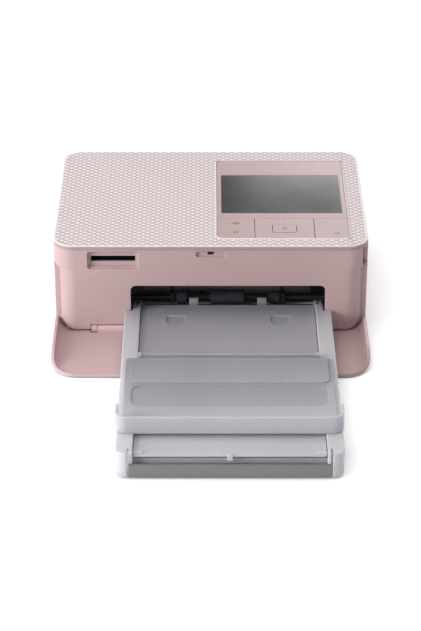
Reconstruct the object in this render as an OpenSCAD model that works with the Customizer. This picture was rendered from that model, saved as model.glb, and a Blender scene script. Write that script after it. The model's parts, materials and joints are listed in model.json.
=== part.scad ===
// Compact dye-sublimation photo printer with its paper cassette in place.
// Millimetres. X runs to the printer's right as seen from the front, Y to its back and Z up.
// The modules are drawn with the front fascia on y = 0 and the table on z = 0.
// placed() then moves them, so that the origin is under the middle of the whole outline.

/* [Body] */
// Width of the printer body
body_w = 182.2; // [180:0.2:192]
// Depth of the body with the front door closed
body_d = 133; // [130:0.5:142]
// Height of the body on its feet
body_h = 57.6; // [57:0.2:64]
// Corner radius of the body seen from above
corner_r = 12; // [9:0.5:14]
// Wall thickness of the outer shells
wall = 2.2; // [1.8:0.1:2.6]
// Thickness of the top cover
top_t = 2.4; // [2:0.1:3]
// Rounding of the top cover's upper edge
top_round = 0.8; // [0.6:0.1:1.8]
// Height of the rubber feet
foot_h = 1.6; // [1.4:0.1:2]
// Radius of the rubber feet
foot_r = 6; // [4:0.5:8]
// Thickness of the bottom cover
base_t = 2; // [1.6:0.1:2.4]
// Gap between neighbouring shells
seam = 0.2; // [0.1:0.05:0.3]

/* [Front fascia] */
// Height of the fascia's lower edge above the table
fascia_z = 2.9; // [2.6:0.1:3.2]
// Radius of the fascia's lower corners
fascia_r = 9.5; // [6:0.5:12]
// Depth of the side recesses that take the door's flanges
ledge = 6.2; // [5.8:0.1:7]
// Distance from the body's top down to the top of those recesses
recess_drop = 15.2; // [14:0.2:16.4]
// Sideways distance from the body's middle to the cassette bay's middle
bay_x = 10; // [8:0.5:12]
// Width of the cassette opening
bay_w = 113; // [112.6:0.1:114]
// Height of the opening's upper edge above the table
bay_top = 31.7; // [30:0.1:33]
// Radius of the opening's upper corners
bay_r = 3; // [1:0.5:5]
// Distance from the body's left side to the middle of the card slot
card_in = 34.7; // [31:0.1:36]
// Distance from the body's top down to the middle of the card recess
card_drop = 9.3; // [8.8:0.1:10.1]
// Width of the card recess
card_w = 29.6; // [29:0.1:31]
// Height of the card recess
card_h = 11.2; // [10:0.1:12]
// Depth of the card recess
card_deep = 2.6; // [2:0.1:3]
// Width of the slot for the card
slot_w = 25.6; // [24.6:0.1:26]
// Height of the slot for the card
slot_h = 3.6; // [3:0.1:3.8]
// Width of the latch recess above the opening
latch_w = 17.4; // [15:0.1:20]
// Height of the latch recess
latch_h = 3.6; // [3.2:0.1:4]
// Distance from the body's top down to the latch recess's middle
latch_drop = 5.4; // [5.2:0.1:6]

/* [Front door] */
// Thickness of the door's plate
door_t = 2; // [1.6:0.1:2.2]
// Height of the open door above the table
door_lift = 0.2; // [0.1:0.05:0.4]
// Height of the door hinge's axis above the table
hinge_z = 3.1; // [3:0.05:3.3]
// Distance of the door hinge's axis behind the fascia's face
hinge_y = 0.6; // [0.4:0.05:0.8]
// Radius of the hinge knuckle
knuckle_r = 2.4; // [2.2:0.1:2.6]
// Width of the hinge knuckle
knuckle_w = 132.4; // [126:0.4:136]
// Radius of the door's outer corners
door_r = 15; // [10:0.5:20]
// Radius of the curve from the door's plate up into its sides
side_r = 9; // [8.4:0.1:10]
// Room that the door's sides need beside the fascia
flange_t = 2.2; // [1.8:0.1:2.4]
// Height of the door's sides above the table, door open
flange_z = 8.4; // [7.6:0.1:8.6]
// Gap between the closed door and the fascia
door_gap = 0.2; // [0.1:0.05:0.4]

/* [Control panel] */
// Distance from the body's right side to the control panel
panel_side = 10.7; // [9.7:0.1:11.7]
// Distance from the fascia to the panel's front edge
panel_y = 10.4; // [9:0.2:12]
// Width of the control panel
panel_w = 76.8; // [75:0.2:78]
// Distance from the control panel's back edge to the back of the body
panel_back = 15.2; // [12:0.2:16]
// Corner radius of the control panel
panel_r = 4; // [2:0.5:6]
// Depth of the strip that holds the keys
keys_d = 25.8; // [24:0.2:28]
// Width of the left key
left_key_w = 22; // [20:0.5:24]
// Width of the right key
right_key_w = 20; // [18:0.5:22]
// Width of the display window
screen_w = 71.6; // [68:0.2:72]
// Depth of the display window
screen_d = 52.6; // [49:0.2:53]
// Distance from the panel's front edge to the display window
screen_y = 32.6; // [32:0.2:34]
// Width of the middle button
ok_w = 13.8; // [12:0.2:16]
// Depth of the middle button
ok_d = 9.8; // [8:0.2:11]
// Travel of the keys and the middle button
key_travel = 0.4; // [0.3:0.05:0.5]
// Gap around each key
key_gap = 0.35; // [0.25:0.05:0.45]

/* [Paper cassette] */
// Width of the cassette outside the printer
tray_w = 120; // [118:0.5:122]
// Width of the cassette inside the printer
tray_in_w = 111; // [110:0.2:111.4]
// Length of the cassette in front of the fascia
tray_out = 155.4; // [153:0.2:160]
// Length of the cassette behind the fascia
tray_in = 22; // [21.6:0.1:22.4]
// Height of the cassette's underside above the table
tray_z = 7; // [6.8:0.1:7.2]
// Thickness of the cassette's floor
tray_floor = 1.2; // [1:0.1:1.4]
// Height of the cassette's side rails above the table
rail_z = 15.8; // [15.4:0.1:16.2]
// Depth of the inner lid's top below the rails
lid_drop = 1.8; // [1.4:0.1:2]
// Width of the paper well
well_w = 102; // [101.4:0.1:102.6]
// Thickness of the cassette's side walls
rail_t = 1.8; // [1.4:0.1:2.2]
// Height of the grey bar's upper edge above the table
bar_z = 8.8; // [8.6:0.1:9.4]
// Height of the grey bar's lower edge above the table
bar_foot = 1.5; // [0.5:0.1:2]
// Width of the grey bar
bar_w = 106; // [100:0.5:108]
// Thickness of the two lids
lid_t = 1.2; // [1:0.1:1.4]
// Distance from the fascia to the outer lid's hinge
fold_y = 56; // [55:0.2:57]
// Width of the outer lid's plate
fold_w = 115; // [110:0.5:116]
// Length of the outer lid from its hinge to its end wall
fold_l = 80; // [78:0.5:84]
// Height of the outer lid's end wall
stop_h = 10; // [8:0.5:11]
// Length of the wings beside the end wall
wing_l = 14; // [10:0.5:16]

/* [Ink door and ink cassette] */
// Distance from the fascia to the ink door's front edge
ink_door_y = 11; // [10.6:0.1:12]
// Distance from the ink door's back edge to the back of the body
ink_door_back = 22.8; // [22:0.2:25]
// Distance from the body's top down to the ink door's upper edge
ink_door_drop = 6.6; // [5.6:0.1:7.6]
// Radius of the ink door's hinge barrel
barrel_r = 2.5; // [2.3:0.05:2.6]
// Height of the ink door hinge's axis above the table
barrel_z = 10.6; // [10.2:0.1:11]
// Length of the ink cassette
ink_l = 120; // [118:0.5:124]
// Outer radius of the ink cassette's tubes
tube_r = 9.4; // [9:0.1:9.8]
// Height of the spool axes above the table
spool_z = 36; // [35.5:0.1:36.5]
// Distance from the fascia to the supply spool's axis
supply_y = 44; // [43.5:0.1:44.5]
// Distance between the two spool axes
spool_pitch = 44; // [43.5:0.1:45]

/* [Paper drive] */
// Gear module
gear_m = 0.8; // [0.78:0.01:0.81]
// Width of the gears
gear_w = 4; // [3:0.2:4.4]
// Teeth on the platen gear
platen_teeth = 30; // [28:1:32]
// Teeth on the capstan gear
capstan_teeth = 20; // [18:1:22]
// Teeth on the idler gear
idler_teeth = 24; // [22:1:26]
// Teeth on the pick-up gear
pick_teeth = 18; // [16:1:20]
// Teeth on the motor pinion
pinion_teeth = 16; // [14:1:18]
// Play between meshing teeth
backlash = 0.2; // [0.15:0.01:0.25]
// Radius of the platen roller
platen_r = 7; // [6.6:0.1:7.2]
// Radius of the capstan roller
capstan_r = 3.5; // [3:0.1:3.8]
// Radius of the pick-up rollers
pick_r = 4.2; // [4:0.1:4.3]
// Radius of the pick-up shaft
pick_shaft_r = 1.6; // [1.4:0.1:1.8]
// Distance from the fascia to the pick-up shaft
pick_y = 18; // [17.8:0.1:18.4]
// Height of the pick-up shaft above the table
pick_z = 14.5; // [14.4:0.05:14.7]
// Distance from the fascia to the platen roller's axis
platen_y = 66; // [65.6:0.1:66.4]
// Height of the platen and capstan axes above the table
platen_z = 17.5; // [17.3:0.1:17.7]
// Radial clearance of every shaft in its bearing
run_gap = 0.05; // [0.03:0.01:0.08]
// Thickness of the chassis side plates
plate_t = 2.5; // [2:0.1:2.8]
// Radius of the motor body
motor_r = 10; // [8:0.5:11]

/* [Rear] */
// Height of the rear paper slot's lower edge
rear_slot_z = 14; // [12:0.5:16]
// Height of the rear paper slot
rear_slot_h = 10; // [8:0.5:12]
// Number of ventilation slots
vents = 12; // [6:1:14]
// Radius of the power socket's bore
jack_r = 2.8; // [2.6:0.1:3]

/* [Hidden] */
$fn = 64;

// Overshoot of cutting tools past the face they cut
eps = 0.5;

// Body levels and edges
half_w = body_w / 2;
lip_y = door_t + door_gap;
back_y = body_d - lip_y;
cover_z = body_h - top_t;
shell_top = cover_z - seam;
base_z = foot_h + base_t;
shell_z = base_z + seam;
rear_half = half_w - corner_r - 2;
strip_w = 6;
tongue_h = 2.5;
tongue_t = 1.4;
backing = 1.4;
fascia_half = half_w - flange_t - door_gap * 2;
fascia_edge_r = corner_r - 2;
fascia_t = wall;
web_t = 1.6;
ink_y1 = back_y - ink_door_back;
ink_door_top = body_h - ink_door_drop;
fascia_back = ink_door_y - seam;
notch_deep = 3.1;
notch_y = 3.6;
notch_z1 = body_h - 3.3;
recess_top = body_h - recess_drop;
card_x = -half_w + card_in;
card_z = body_h - card_drop;
latch_z = body_h - latch_drop;
card_slope = 0.9;
latch_deep = 1.2;
slot_z = card_z - 0.1;
rear_z0 = 7;
rear_z1 = body_h - 7.6;
rear_slot_w = 104;
hood_d = 8;
hood_t = 1.6;
vent_x0 = -30;
vent_pitch = 6;
vent_z0 = 31;
vent_w = 2;
slot_r = 0.9;
jack_x = -rear_half + 11.1;
jack_z = 38;
jack_l = 13;
jack_half = 5.5;
base_front = hinge_y + knuckle_r + 0.4;
screw_x0 = half_w - 8.7;
screw_y0 = 12;
screw_x1 = half_w - wall - 4.4;
screw_y1 = back_y - 12.8;
screw_r = 1.25;
head_r = 2.6;
head_t = 1.2;
screw_l = 9;
boss_r = 3;
boss_h = 11;
foot_x = half_w - 17.1;
foot_y0 = 22;
foot_y1 = back_y - 18.8;
air_x0 = -half_w + 11.1;
air_pitch = 4;
air_y0 = 60;
air_y1 = 90;
air_slots = 8;

// Front door, lying open
door_len = shell_top - seam - hinge_z;
pin_r = 1.2;
knuckle_half = knuckle_w / 2;
ear_t = 3.4;
ear_half = knuckle_half + seam + ear_t;
door_top = door_lift + door_t;
door_near = hinge_y - door_len;
door_rear = hinge_y + knuckle_r;
side_near = hinge_y - (recess_top - seam * 2 - hinge_z);
side_x = half_w - sqrt(pow(side_r, 2) - pow(door_lift + side_r - flange_z, 2));
hook_w = 3;
hook_t = 1.4;
hook_rise = 1.8;
hook_y = hinge_y - (latch_z - hinge_z);

// Control panel
panel_drop = 0.2;
panel_t = 1.4;
panel_top = body_h - panel_drop;
panel_under = panel_top - panel_t;
panel_x1 = half_w - panel_side;
panel_x0 = panel_x1 - panel_w;
panel_x = (panel_x0 + panel_x1) / 2;
panel_y1 = back_y - panel_back;
keys_y1 = panel_y + keys_d;
slit_l = 21;
slit_w = key_gap;
nav_x0 = panel_x0 + left_key_w;
nav_x1 = panel_x1 - right_key_w;
nav_x = (nav_x0 + nav_x1) / 2;
nav_y = panel_y + slit_l / 2 + 1.8;
board_t = 1.2;
board_top = panel_under - 2.4;
pivot_r = 0.5;
pivot_z = board_top + 1.2;
carrier_w = 23;
carrier_d = 17;
carrier_rim = 2.2;
carrier_t = 1.2;
post_t = 1.6;
post_w = 3;
stem_r = 1.5;
stem_in = 5;

// Paper cassette
tray_near = -tray_out;
shoulder_y = -0.8;
well_half = well_w / 2;
tray_rib_pitch = 26;
low_rail_z = tray_z + 3.8;
rail_back = 9;
leg_w = 5.4;
bar_t = 4;
front_wall_y = tray_near + bar_t + seam;
lid_top = rail_z - lid_drop;
lid_z = lid_top - lid_t;
lid_half = well_half - 0.4;
lid_far = 9.4;
lid_near = tray_near + 1.8;
lid_axis_y = tray_near + 4.4;
lid_axis_z = lid_z + 0.3;
lid_pin_r = 0.9;
lid_boss_r = 1.7;
fold_r = 1.5;
fold_plate_z = rail_z + 0.2;
fold_z = fold_plate_z + fold_r + 0.1;
fold_ear_t = 2.2;
outer_half = tray_w / 2 + 0.7;
stop_y = -fold_y - fold_l;
stop_t = 1.6;
stop_r = 6;
stop_top = fold_plate_z + stop_h;
plate_hinge_y = -40;
plate_pin_r = 0.8;
knuckle_room = fold_r + 0.9;
wing_y = stop_y + 40;
lift_t = 0.8;
lift_z = tray_z + tray_floor + 0.2;

// Ink cassette and ink door
takeup_y = supply_y + spool_pitch;
spool_mid = (supply_y + takeup_y) / 2;
door_ear = 4;
catch_half = 5;
grip_half = 9;
bridge_half = 4.4;
barrel_x = half_w - barrel_r;
tube_t = 1.3;
core_r = 3.2;
roll_r = 7.2;
film_t = 0.2;
way_half = 5;
film_z = spool_z - tube_r + tube_t + film_t;

// Chassis
bay_half = bay_w / 2 + 1;
plate_l = bay_x - bay_half;
plate_r = bay_x + bay_half;
ink_left = plate_l + 0.4;
ink_right = ink_left + ink_l;
film_x0 = ink_left + 5;
film_x1 = plate_r - 1.1;
deck_t = 1.4;
deck_z = tray_z - seam;
plate_top = spool_z + tube_r + 1.6;
plate_low = body_h - 15.6;
plate_cut = 12;
plate_y0 = base_front + 1;
plate_y1 = back_y - 16.8;
plate_step = supply_y - tube_r - 2;
bore_over = 20;
cross_w = 10;
nip_half = 50;

// Gear train
pressure = 25;
addendum = 0.92;
dedendum = 1.2;
gear_x1 = plate_l - plate_t - 1;
gear_x0 = gear_x1 - gear_w;
function pitch_r(teeth) = gear_m * teeth / 2;
capstan_y = platen_y - pitch_r(platen_teeth) - pitch_r(capstan_teeth);
motor_dir = 50;
motor_gap = pitch_r(platen_teeth) + pitch_r(pinion_teeth);
motor_y = platen_y + motor_gap * cos(motor_dir);
motor_z = platen_z + motor_gap * sin(motor_dir);
motor_room = 6.9;
motor_l = gear_x0 - 1 + half_w - wall - motor_room;
shaft_r = 1.6;
capstan_shaft_r = 2;
platen_shaft_r = 2.5;
reach_c = pitch_r(capstan_teeth) + pitch_r(idler_teeth);
reach_p = pitch_r(pick_teeth) + pitch_r(idler_teeth);
span = norm([capstan_y - pick_y, platen_z - pick_z]);
base_dir = atan2(platen_z - pick_z, capstan_y - pick_y);
lean = acos((reach_p * reach_p + span * span - reach_c * reach_c) / (2 * reach_p * span));
idler_y = pick_y + reach_p * cos(base_dir + lean);
idler_z = pick_z + reach_p * sin(base_dir + lean);
function toward(y0, z0, y1, z1) = atan2(z1 - z0, y1 - y0);
// Turn of a gear that meshes with a neighbour of the given turn and teeth, which sees it at dir
function meshed(dir, turn, teeth, own) = dir + 180 - (turn - dir) * teeth / own + 180 / own;
platen_turn = 0;
capstan_turn = meshed(180, platen_turn, platen_teeth, capstan_teeth);
idler_dir = toward(capstan_y, platen_z, idler_y, idler_z);
idler_turn = meshed(idler_dir, capstan_turn, capstan_teeth, idler_teeth);
pick_dir = toward(idler_y, idler_z, pick_y, pick_z);
pick_turn = meshed(pick_dir, idler_turn, idler_teeth, pick_teeth);
pinion_turn = meshed(motor_dir, platen_turn, platen_teeth, pinion_teeth);

// Rollers and brackets that show in the opening
pick_w = 19;
roller_x = 27.3;
guide_x = 32.4;
tab_x = 20;
tab_half = 2.6;
guide_y = pick_y + 7;
guide_z = pick_z + 5.5;
guide_t = 3;
guide_h = 9.5;
arm_t = 2.4;
arm_r = 3.4;
rib_t = 1.2;
rib_pitch = 9;

// Marks and fields of the lids
moon_x = 30.2;
moon_y = -9.4;
moon_r = 5.6;
field_y = -86;
window_y0 = -110;
window_y1 = -88;

// Boards and sockets
board_x0 = -half_w + wall + 1.9;
board_x1 = plate_l - plate_t - 1;
board_y0 = 38;
board_y1 = back_y - 12.8;
board_z = 44;
port_w = 9.4;
port_h = 3.6;
port_l = 6.5;
port_y = board_y1 - 22;
port_z = board_z - port_h / 2;
socket_l = 28;
lever_y = takeup_y + tube_r + 6.6;
lever_z = spool_z + 2;
lever_l = 7;
grip_l = 9;

// Thermal head on its arm
head_z = film_z + film_t + 0.6;
head_pivot_y = supply_y + tube_r + 4.2;
head_pivot_z = plate_top - 4;
arm_x = nip_half + 3;
fin_half = nip_half - 2;
sink_t = 1.5;
sink_y = platen_y - 4.5;
sink_d = 9;
fin_h = 4.5;
fin_t = 1;
head_h = 4;

// Middle of the outline, from the cassette's near end to the back of the body
origin_y = (tray_near + back_y) / 2;

// Colours
shell_colour = [0.86, 0.72, 0.71];
fascia_colour = [0.80, 0.65, 0.64];
frost_colour = [0.80, 0.80, 0.84, 0.6];
grey_colour = [0.52, 0.50, 0.53];
dark_colour = [0.10, 0.10, 0.11];
steel_colour = [0.68, 0.69, 0.71];
board_colour = [0.15, 0.36, 0.22];

// Shared shapes

// A rounded rectangle between two corners
module plan(x0, y0, x1, y1, r) {
    w = x1 - x0;
    d = y1 - y0;
    translate([x0 + r, y0]) square([w - 2 * r, d]);
    translate([x0, y0 + r]) square([w, d - 2 * r]);
    for (x = [x0 + r, x1 - r], y = [y0 + r, y1 - r]) translate([x, y]) circle(r);
}

// A box between two corners
module block(x0, y0, z0, x1, y1, z1) {
    translate([x0, y0, z0]) cube([x1 - x0, y1 - y0, z1 - z0]);
}

// A round bar along X
module bar_x(x0, x1, y, z, r) {
    translate([x0, y, z]) rotate([0, 90, 0]) cylinder(r = r, h = x1 - x0);
}

// A round bar along Y
module bar_y(y0, y1, x, z, r) {
    translate([x, y0, z]) rotate([-90, 0, 0]) cylinder(r = r, h = y1 - y0);
}

// An outline in X and Y, extruded upwards from z0 to z1
module flat(z0, z1) {
    translate([0, 0, z0]) linear_extrude(z1 - z0) children();
}

// An outline in X and Z, drawn as seen from the front and extruded from y0 to y1
module front_cut(y0, y1) {
    translate([0, y1, 0]) rotate([90, 0, 0]) linear_extrude(y1 - y0) children();
}

// An outline in Y and Z, drawn as seen from the right side and extruded from x0 to x1
module side_cut(x0, x1) {
    translate([x0, 0, 0]) rotate([90, 0, 90]) linear_extrude(x1 - x0) children();
}

// The body's outline seen from above, drawn in by the given amount
module body_plan(inset = 0) {
    plan(-half_w + inset, -lip_y + inset, half_w - inset, back_y - inset, corner_r - inset);
}

// The top cover's outline, its front edge close over the fascia
module cover_plan(inset = 0) {
    plan(-half_w + inset, inset - seam, half_w - inset, back_y - inset, corner_r - inset);
}

// Body shells

// Top cover with a rounded upper edge and the pocket of the control panel
module top_cover() {
    color(shell_colour) difference() {
        union() {
            hull() {
                flat(cover_z, body_h - top_round) cover_plan();
                for (step = [1:4]) {
                    a = 90 * step / 4;
                    rise = top_round * sin(a);
                    flat(body_h - top_round, body_h - top_round + rise)
                        cover_plan(top_round * (1 - cos(a)));
                }
            }
            // Tongue that locates the cover inside the side shell
            flat(cover_z - tongue_h, cover_z + eps) difference() {
                body_plan(wall + seam);
                body_plan(wall + seam + tongue_t);
                translate([-half_w, -lip_y]) square([body_w, lip_y + corner_r]);
                translate([-rear_half, back_y / 2]) square([rear_half * 2, back_y]);
            }
        }
        flat(panel_under, body_h + eps)
            plan(panel_x0 - seam, panel_y - seam, panel_x1 + seam, panel_y1 + seam, panel_r);
        flat(cover_z - eps, body_h + eps)
            plan(panel_x0 + 1.5, keys_y1 + 2, panel_x1 - 1.5, panel_y1 - 2, panel_r);
        flat(cover_z - eps, panel_under + eps)
            plan(panel_x0 - seam, panel_y - seam, panel_x1 + seam, keys_y1 + 2 + panel_r * 2, panel_r);
    }
}

// Wrap-around side shell with the front strips, ink door opening, rear opening and side port
module side_shell() {
    color(shell_colour) difference() {
        union() {
            flat(shell_z, shell_top) difference() {
                body_plan();
                body_plan(wall);
            }
            // Strips that face forwards behind the door's flanges
            for (side = [-1, 1]) {
                flat(shell_z, recess_top + web_t) intersection() {
                    body_plan();
                    translate([side > 0 ? half_w - strip_w : -half_w, ledge]) square([strip_w, wall]);
                }
            }
            // Screw bosses in the corners
            for (side = [-1, 1]) {
                translate([side * screw_x0, screw_y0, shell_z]) cylinder(r = boss_r, h = boss_h);
                block(side > 0 ? screw_x0 - 1 : -half_w + 3, ledge, shell_z,
                    side > 0 ? half_w - 3 : -screw_x0 + 1, ledge + wall + 2, shell_z + boss_h);
                translate([side * screw_x1, screw_y1, shell_z]) cylinder(r = boss_r, h = boss_h);
            }
            // Ears for the pins of the ink door
            for (y = [[ledge + wall - eps, ink_door_y - seam], [ink_y1 + seam, ink_y1 + seam + door_ear]])
                block(barrel_x - barrel_r, y[0], shell_z, half_w - wall + eps, y[1], barrel_z + barrel_r);
        }
        // Room for the front fascia
        block(-half_w - eps, -lip_y - eps, shell_z - eps, half_w + eps, ledge, recess_top + web_t + seam);
        block(-half_w - eps, -lip_y - eps, recess_top - seam, half_w + eps, fascia_back, shell_top + eps);
        // Ink door and its finger room
        block(half_w - wall - eps * 2, ink_door_y - seam, barrel_z - barrel_r - seam,
            half_w + eps, ink_y1 + seam, ink_door_top + seam);
        // Rear panel
        block(-rear_half, back_y - wall - eps, rear_z0, rear_half, back_y + eps, rear_z1);
        // Side port
        side_port_cut();
        // Bores for the screws and the door pins
        screw_spots() translate([0, 0, shell_z - eps]) cylinder(r = screw_r + run_gap, h = boss_h - 1);
        bar_y(ledge + wall, ink_y1 + seam + door_ear - 1, barrel_x, barrel_z, pin_r + run_gap);
    }
}

// Places its children at the four case screws
module screw_spots() {
    for (side = [-1, 1]) {
        translate([side * screw_x0, screw_y0, 0]) children();
        translate([side * screw_x1, screw_y1, 0]) children();
    }
}

// The port's cut through the left wall
module side_port_cut() {
    side_cut(-half_w - eps, -half_w + wall + eps) port_plan(0);
}

// The port's outline seen from the side
module port_plan(inset) {
    plan(port_y - port_w / 2 + inset, port_z - port_h / 2 + inset, port_y + port_w / 2 - inset,
        port_z + port_h / 2 - inset, 1.6 - inset);
}

// Outline of the fascia seen from the front, with rounded lower corners and room for the hinge
module fascia_front() {
    difference() {
        union() {
            plan(-fascia_half, fascia_z, fascia_half, recess_top + web_t, fascia_r);
            translate([-fascia_half, recess_top - fascia_r])
                square([fascia_half * 2, fascia_r + web_t]);
        }
        translate([-ear_half - 0.4, 0]) square([(ear_half + 0.4) * 2, hinge_z + knuckle_r + 0.6]);
    }
}

// Front fascia with the cassette opening, card slot, latch recess and finger notch
module front_fascia() {
    color(fascia_colour) difference() {
        union() {
            intersection() {
                flat(fascia_z - eps, recess_top + web_t) difference() {
                    plan(-fascia_half, 0, fascia_half, back_y, fascia_edge_r);
                    plan(-fascia_half + fascia_t, fascia_t, fascia_half - fascia_t, back_y,
                        fascia_edge_r - fascia_t);
                    translate([-half_w, ledge - seam]) square([body_w, body_d]);
                }
                front_cut(-eps, ledge) fascia_front();
            }
            flat(recess_top, shell_top) difference() {
                plan(-half_w, 0, half_w, back_y, corner_r);
                plan(-half_w + wall, fascia_t, half_w - wall, back_y, corner_r - wall);
                translate([-half_w, fascia_back - seam]) square([body_w, body_d]);
            }
            // Web between the narrower lower part and the flush upper part
            flat(recess_top, recess_top + web_t) difference() {
                plan(-half_w, 0, half_w, back_y, corner_r);
                plan(-half_w + strip_w, fascia_t, half_w - strip_w, back_y, corner_r - fascia_t);
                translate([-half_w, fascia_back - seam]) square([body_w, body_d]);
            }
            // Backing of the card recess
            block(card_x - card_w / 2 - backing, eps, card_z - card_h / 2 - 1.2,
                card_x + card_w / 2 + backing, card_deep + backing, shell_top);
            // Backing of the latch recess
            block(-latch_w / 2 - backing, eps, latch_z - latch_h / 2 - 1.2,
                latch_w / 2 + backing, fascia_t + 2.4, shell_top);
            // Backing of the finger notch
            block(half_w - notch_deep - web_t, notch_y + 1.4, recess_top, half_w - notch_deep + eps,
                fascia_back - seam, shell_top);
        }
        // Cassette opening, open below
        front_cut(-eps, fascia_t + 4)
            plan(bay_x - bay_w / 2, 0, bay_x + bay_w / 2, bay_top, bay_r);
        // Card recess with sloping flanks, and the slot in it
        front_cut(-eps, card_deep * 0.5)
            plan(card_x - card_w / 2, card_z - card_h / 2, card_x + card_w / 2, card_z + card_h / 2, 1.6);
        front_cut(-eps, card_deep)
            plan(card_x - card_w / 2 + card_slope, card_z - card_h / 2 + card_slope,
                card_x + card_w / 2 - card_slope, card_z + card_h / 2 - card_slope, 1.2);
        front_cut(-eps, card_deep + 3)
            plan(card_x - slot_w / 2, slot_z - slot_h / 2, card_x + slot_w / 2, slot_z + slot_h / 2, 0.4);
        // Latch recess with the hole that the door's hook enters
        front_cut(-eps, latch_deep)
            plan(-latch_w / 2, latch_z - latch_h / 2, latch_w / 2, latch_z + latch_h / 2,
                latch_h / 2 - 0.1);
        front_cut(-eps, fascia_t + 3)
            plan(-hook_w / 2 - 0.3, latch_z - 0.9, hook_w / 2 + 0.3, latch_z + latch_h / 2 - 0.2, 0.3);
        // Finger notch in front of the ink door
        block(half_w - notch_deep, notch_y, recess_top - eps, half_w + eps, fascia_back, notch_z1);
    }
}

// Rear panel with ventilation slots, the paper slot and the hole for the power socket
module rear_panel() {
    color(shell_colour) difference() {
        union() {
            block(-rear_half + seam, back_y - wall, rear_z0 + seam, rear_half - seam, back_y, rear_z1 - seam);
            // Flange that lies behind the side shell's edge
            block(-rear_half - 2, back_y - wall - backing - seam, rear_z0 - 2, rear_half + 2,
                back_y - wall - seam, rear_z1 + 2);
            block(-rear_half + 2, back_y - wall - 1, rear_z0 + 2, rear_half - 2, back_y - wall + eps,
                rear_z1 - 2);
            // Hood over the paper slot
            block(bay_x - rear_slot_w / 2 - hood_t, back_y - hood_d, rear_slot_z + rear_slot_h,
                bay_x + rear_slot_w / 2 + hood_t, back_y - wall, rear_slot_z + rear_slot_h + hood_t);
        }
        front_cut(back_y - hood_d - 1, back_y + eps)
            plan(bay_x - rear_slot_w / 2, rear_slot_z, bay_x + rear_slot_w / 2,
                rear_slot_z + rear_slot_h, 2);
        for (i = [0:vents - 1])
            front_cut(back_y - wall - 2, back_y + eps)
                plan(vent_x0 + i * vent_pitch, vent_z0, vent_x0 + i * vent_pitch + vent_w, rear_z1 - 5,
                    slot_r);
        bar_y(back_y - wall - 2, back_y + eps, jack_x, jack_z, jack_r + 0.9);
    }
}

// Bottom cover with the ears of the front door's hinge
module bottom_cover() {
    color(shell_colour) difference() {
        union() {
            flat(foot_h, base_z) {
                difference() {
                    body_plan();
                    translate([-half_w, -lip_y - eps]) square([body_w, lip_y + eps + ledge]);
                }
                plan(-half_w + strip_w + 1, base_front, half_w - strip_w - 1, ledge + corner_r, 3);
            }
            for (side = [-1, 1]) {
                x0 = side > 0 ? knuckle_half + seam : -ear_half;
                bar_x(x0, x0 + ear_t, hinge_y, hinge_z, knuckle_r);
                block(x0, hinge_y, foot_h, x0 + ear_t, base_front + 0.8, hinge_z + knuckle_r);
            }
        }
        for (side = [-1, 1])
            bar_x(side * (knuckle_half + ear_t / 2) - ear_t, side * (knuckle_half + ear_t / 2) + ear_t,
                hinge_y, hinge_z, pin_r + run_gap);
        screw_spots() {
            cylinder(r = screw_r + 0.2, h = base_z + eps);
            cylinder(r = head_r + 0.2, h = foot_h + head_t);
        }
        // Air slots under the board
        for (i = [0:air_slots - 1]) flat(foot_h - eps, base_z + eps)
            plan(air_x0 + i * air_pitch, air_y0, air_x0 + i * air_pitch + vent_w, air_y1, slot_r);
    }
}

// Four rubber feet
module feet() {
    color(dark_colour) for (x = [-1, 1], y = [foot_y0, foot_y1]) translate([x * foot_x, y, 0])
        rotate_extrude() polygon([[0, 0], [foot_r - 0.5, 0], [foot_r, 0.5], [foot_r, foot_h], [0, foot_h]]);
}

// Four screws that hold the bottom cover
module case_screws() {
    color(steel_colour) screw_spots() translate([0, 0, foot_h]) difference() {
        union() {
            cylinder(r = head_r, h = head_t);
            cylinder(r = screw_r, h = screw_l);
        }
        for (turn = [0, 90]) rotate(turn) translate([-1.6, -0.35, -eps]) cube([3.2, 0.7, eps + 0.7]);
    }
}

// Front door, lying open on the table
module front_door() {
    color(shell_colour) {
        // Plate whose sides curve up like a tray's, round at the free corners
        intersection() {
            flat(door_lift, flange_z) door_plan();
            front_cut(door_near, door_rear) difference() {
                door_across(side_r);
                door_across(side_r - door_t);
            }
            side_cut(-half_w, half_w) door_along();
        }
        // Hinge knuckle and its pins
        bar_x(-knuckle_half, knuckle_half, hinge_y, hinge_z, knuckle_r);
        bar_x(-knuckle_half - ear_t, knuckle_half + ear_t, hinge_y, hinge_z, pin_r);
        block(-knuckle_half, hinge_y - knuckle_r, door_lift, knuckle_half, hinge_y, hinge_z);
        // Latch hook in the middle of the free edge
        side_cut(-hook_w / 2, hook_w / 2) polygon([
            [hook_y - hook_t, door_top - eps], [hook_y + hook_t, door_top - eps],
            [hook_y + hook_t * 0.3, door_top + hook_rise], [hook_y - hook_t, door_top + hook_rise]]);
    }
}

// The door's outline seen from above, with room for the ears of its hinge
module door_plan() {
    ear_x0 = knuckle_half - 0.4;
    ear_x1 = ear_half + 0.6;
    difference() {
        union() {
            plan(-half_w, door_near, half_w, 0, door_r);
            translate([-half_w, -door_r - 2]) square([body_w, door_r + 2 + hinge_y]);
            for (x = [-half_w, ear_x1]) translate([x, -eps]) square([half_w - ear_x1, door_rear + eps]);
        }
        for (x = [-ear_x1, ear_x0])
            translate([x, hinge_y - knuckle_r - 0.4]) square([ear_x1 - ear_x0, knuckle_r * 2]);
    }
}

// The door seen from the front, from the curve of its sides inwards
module door_across(r) {
    hull() for (side = [-1, 1], z = [door_lift + side_r, door_lift + side_r * 2])
        translate([side * side_x, z]) circle(r);
}

// The door seen from the side, its sides sloping down towards the free edge
module door_along() {
    polygon([[door_near, door_lift], [door_near, door_top], [side_near, door_top + 1],
        [side_near + 2.5, flange_z - 2], [side_near + 7, flange_z], [door_rear, flange_z],
        [door_rear, door_lift]]);
}

// Control panel

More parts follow.
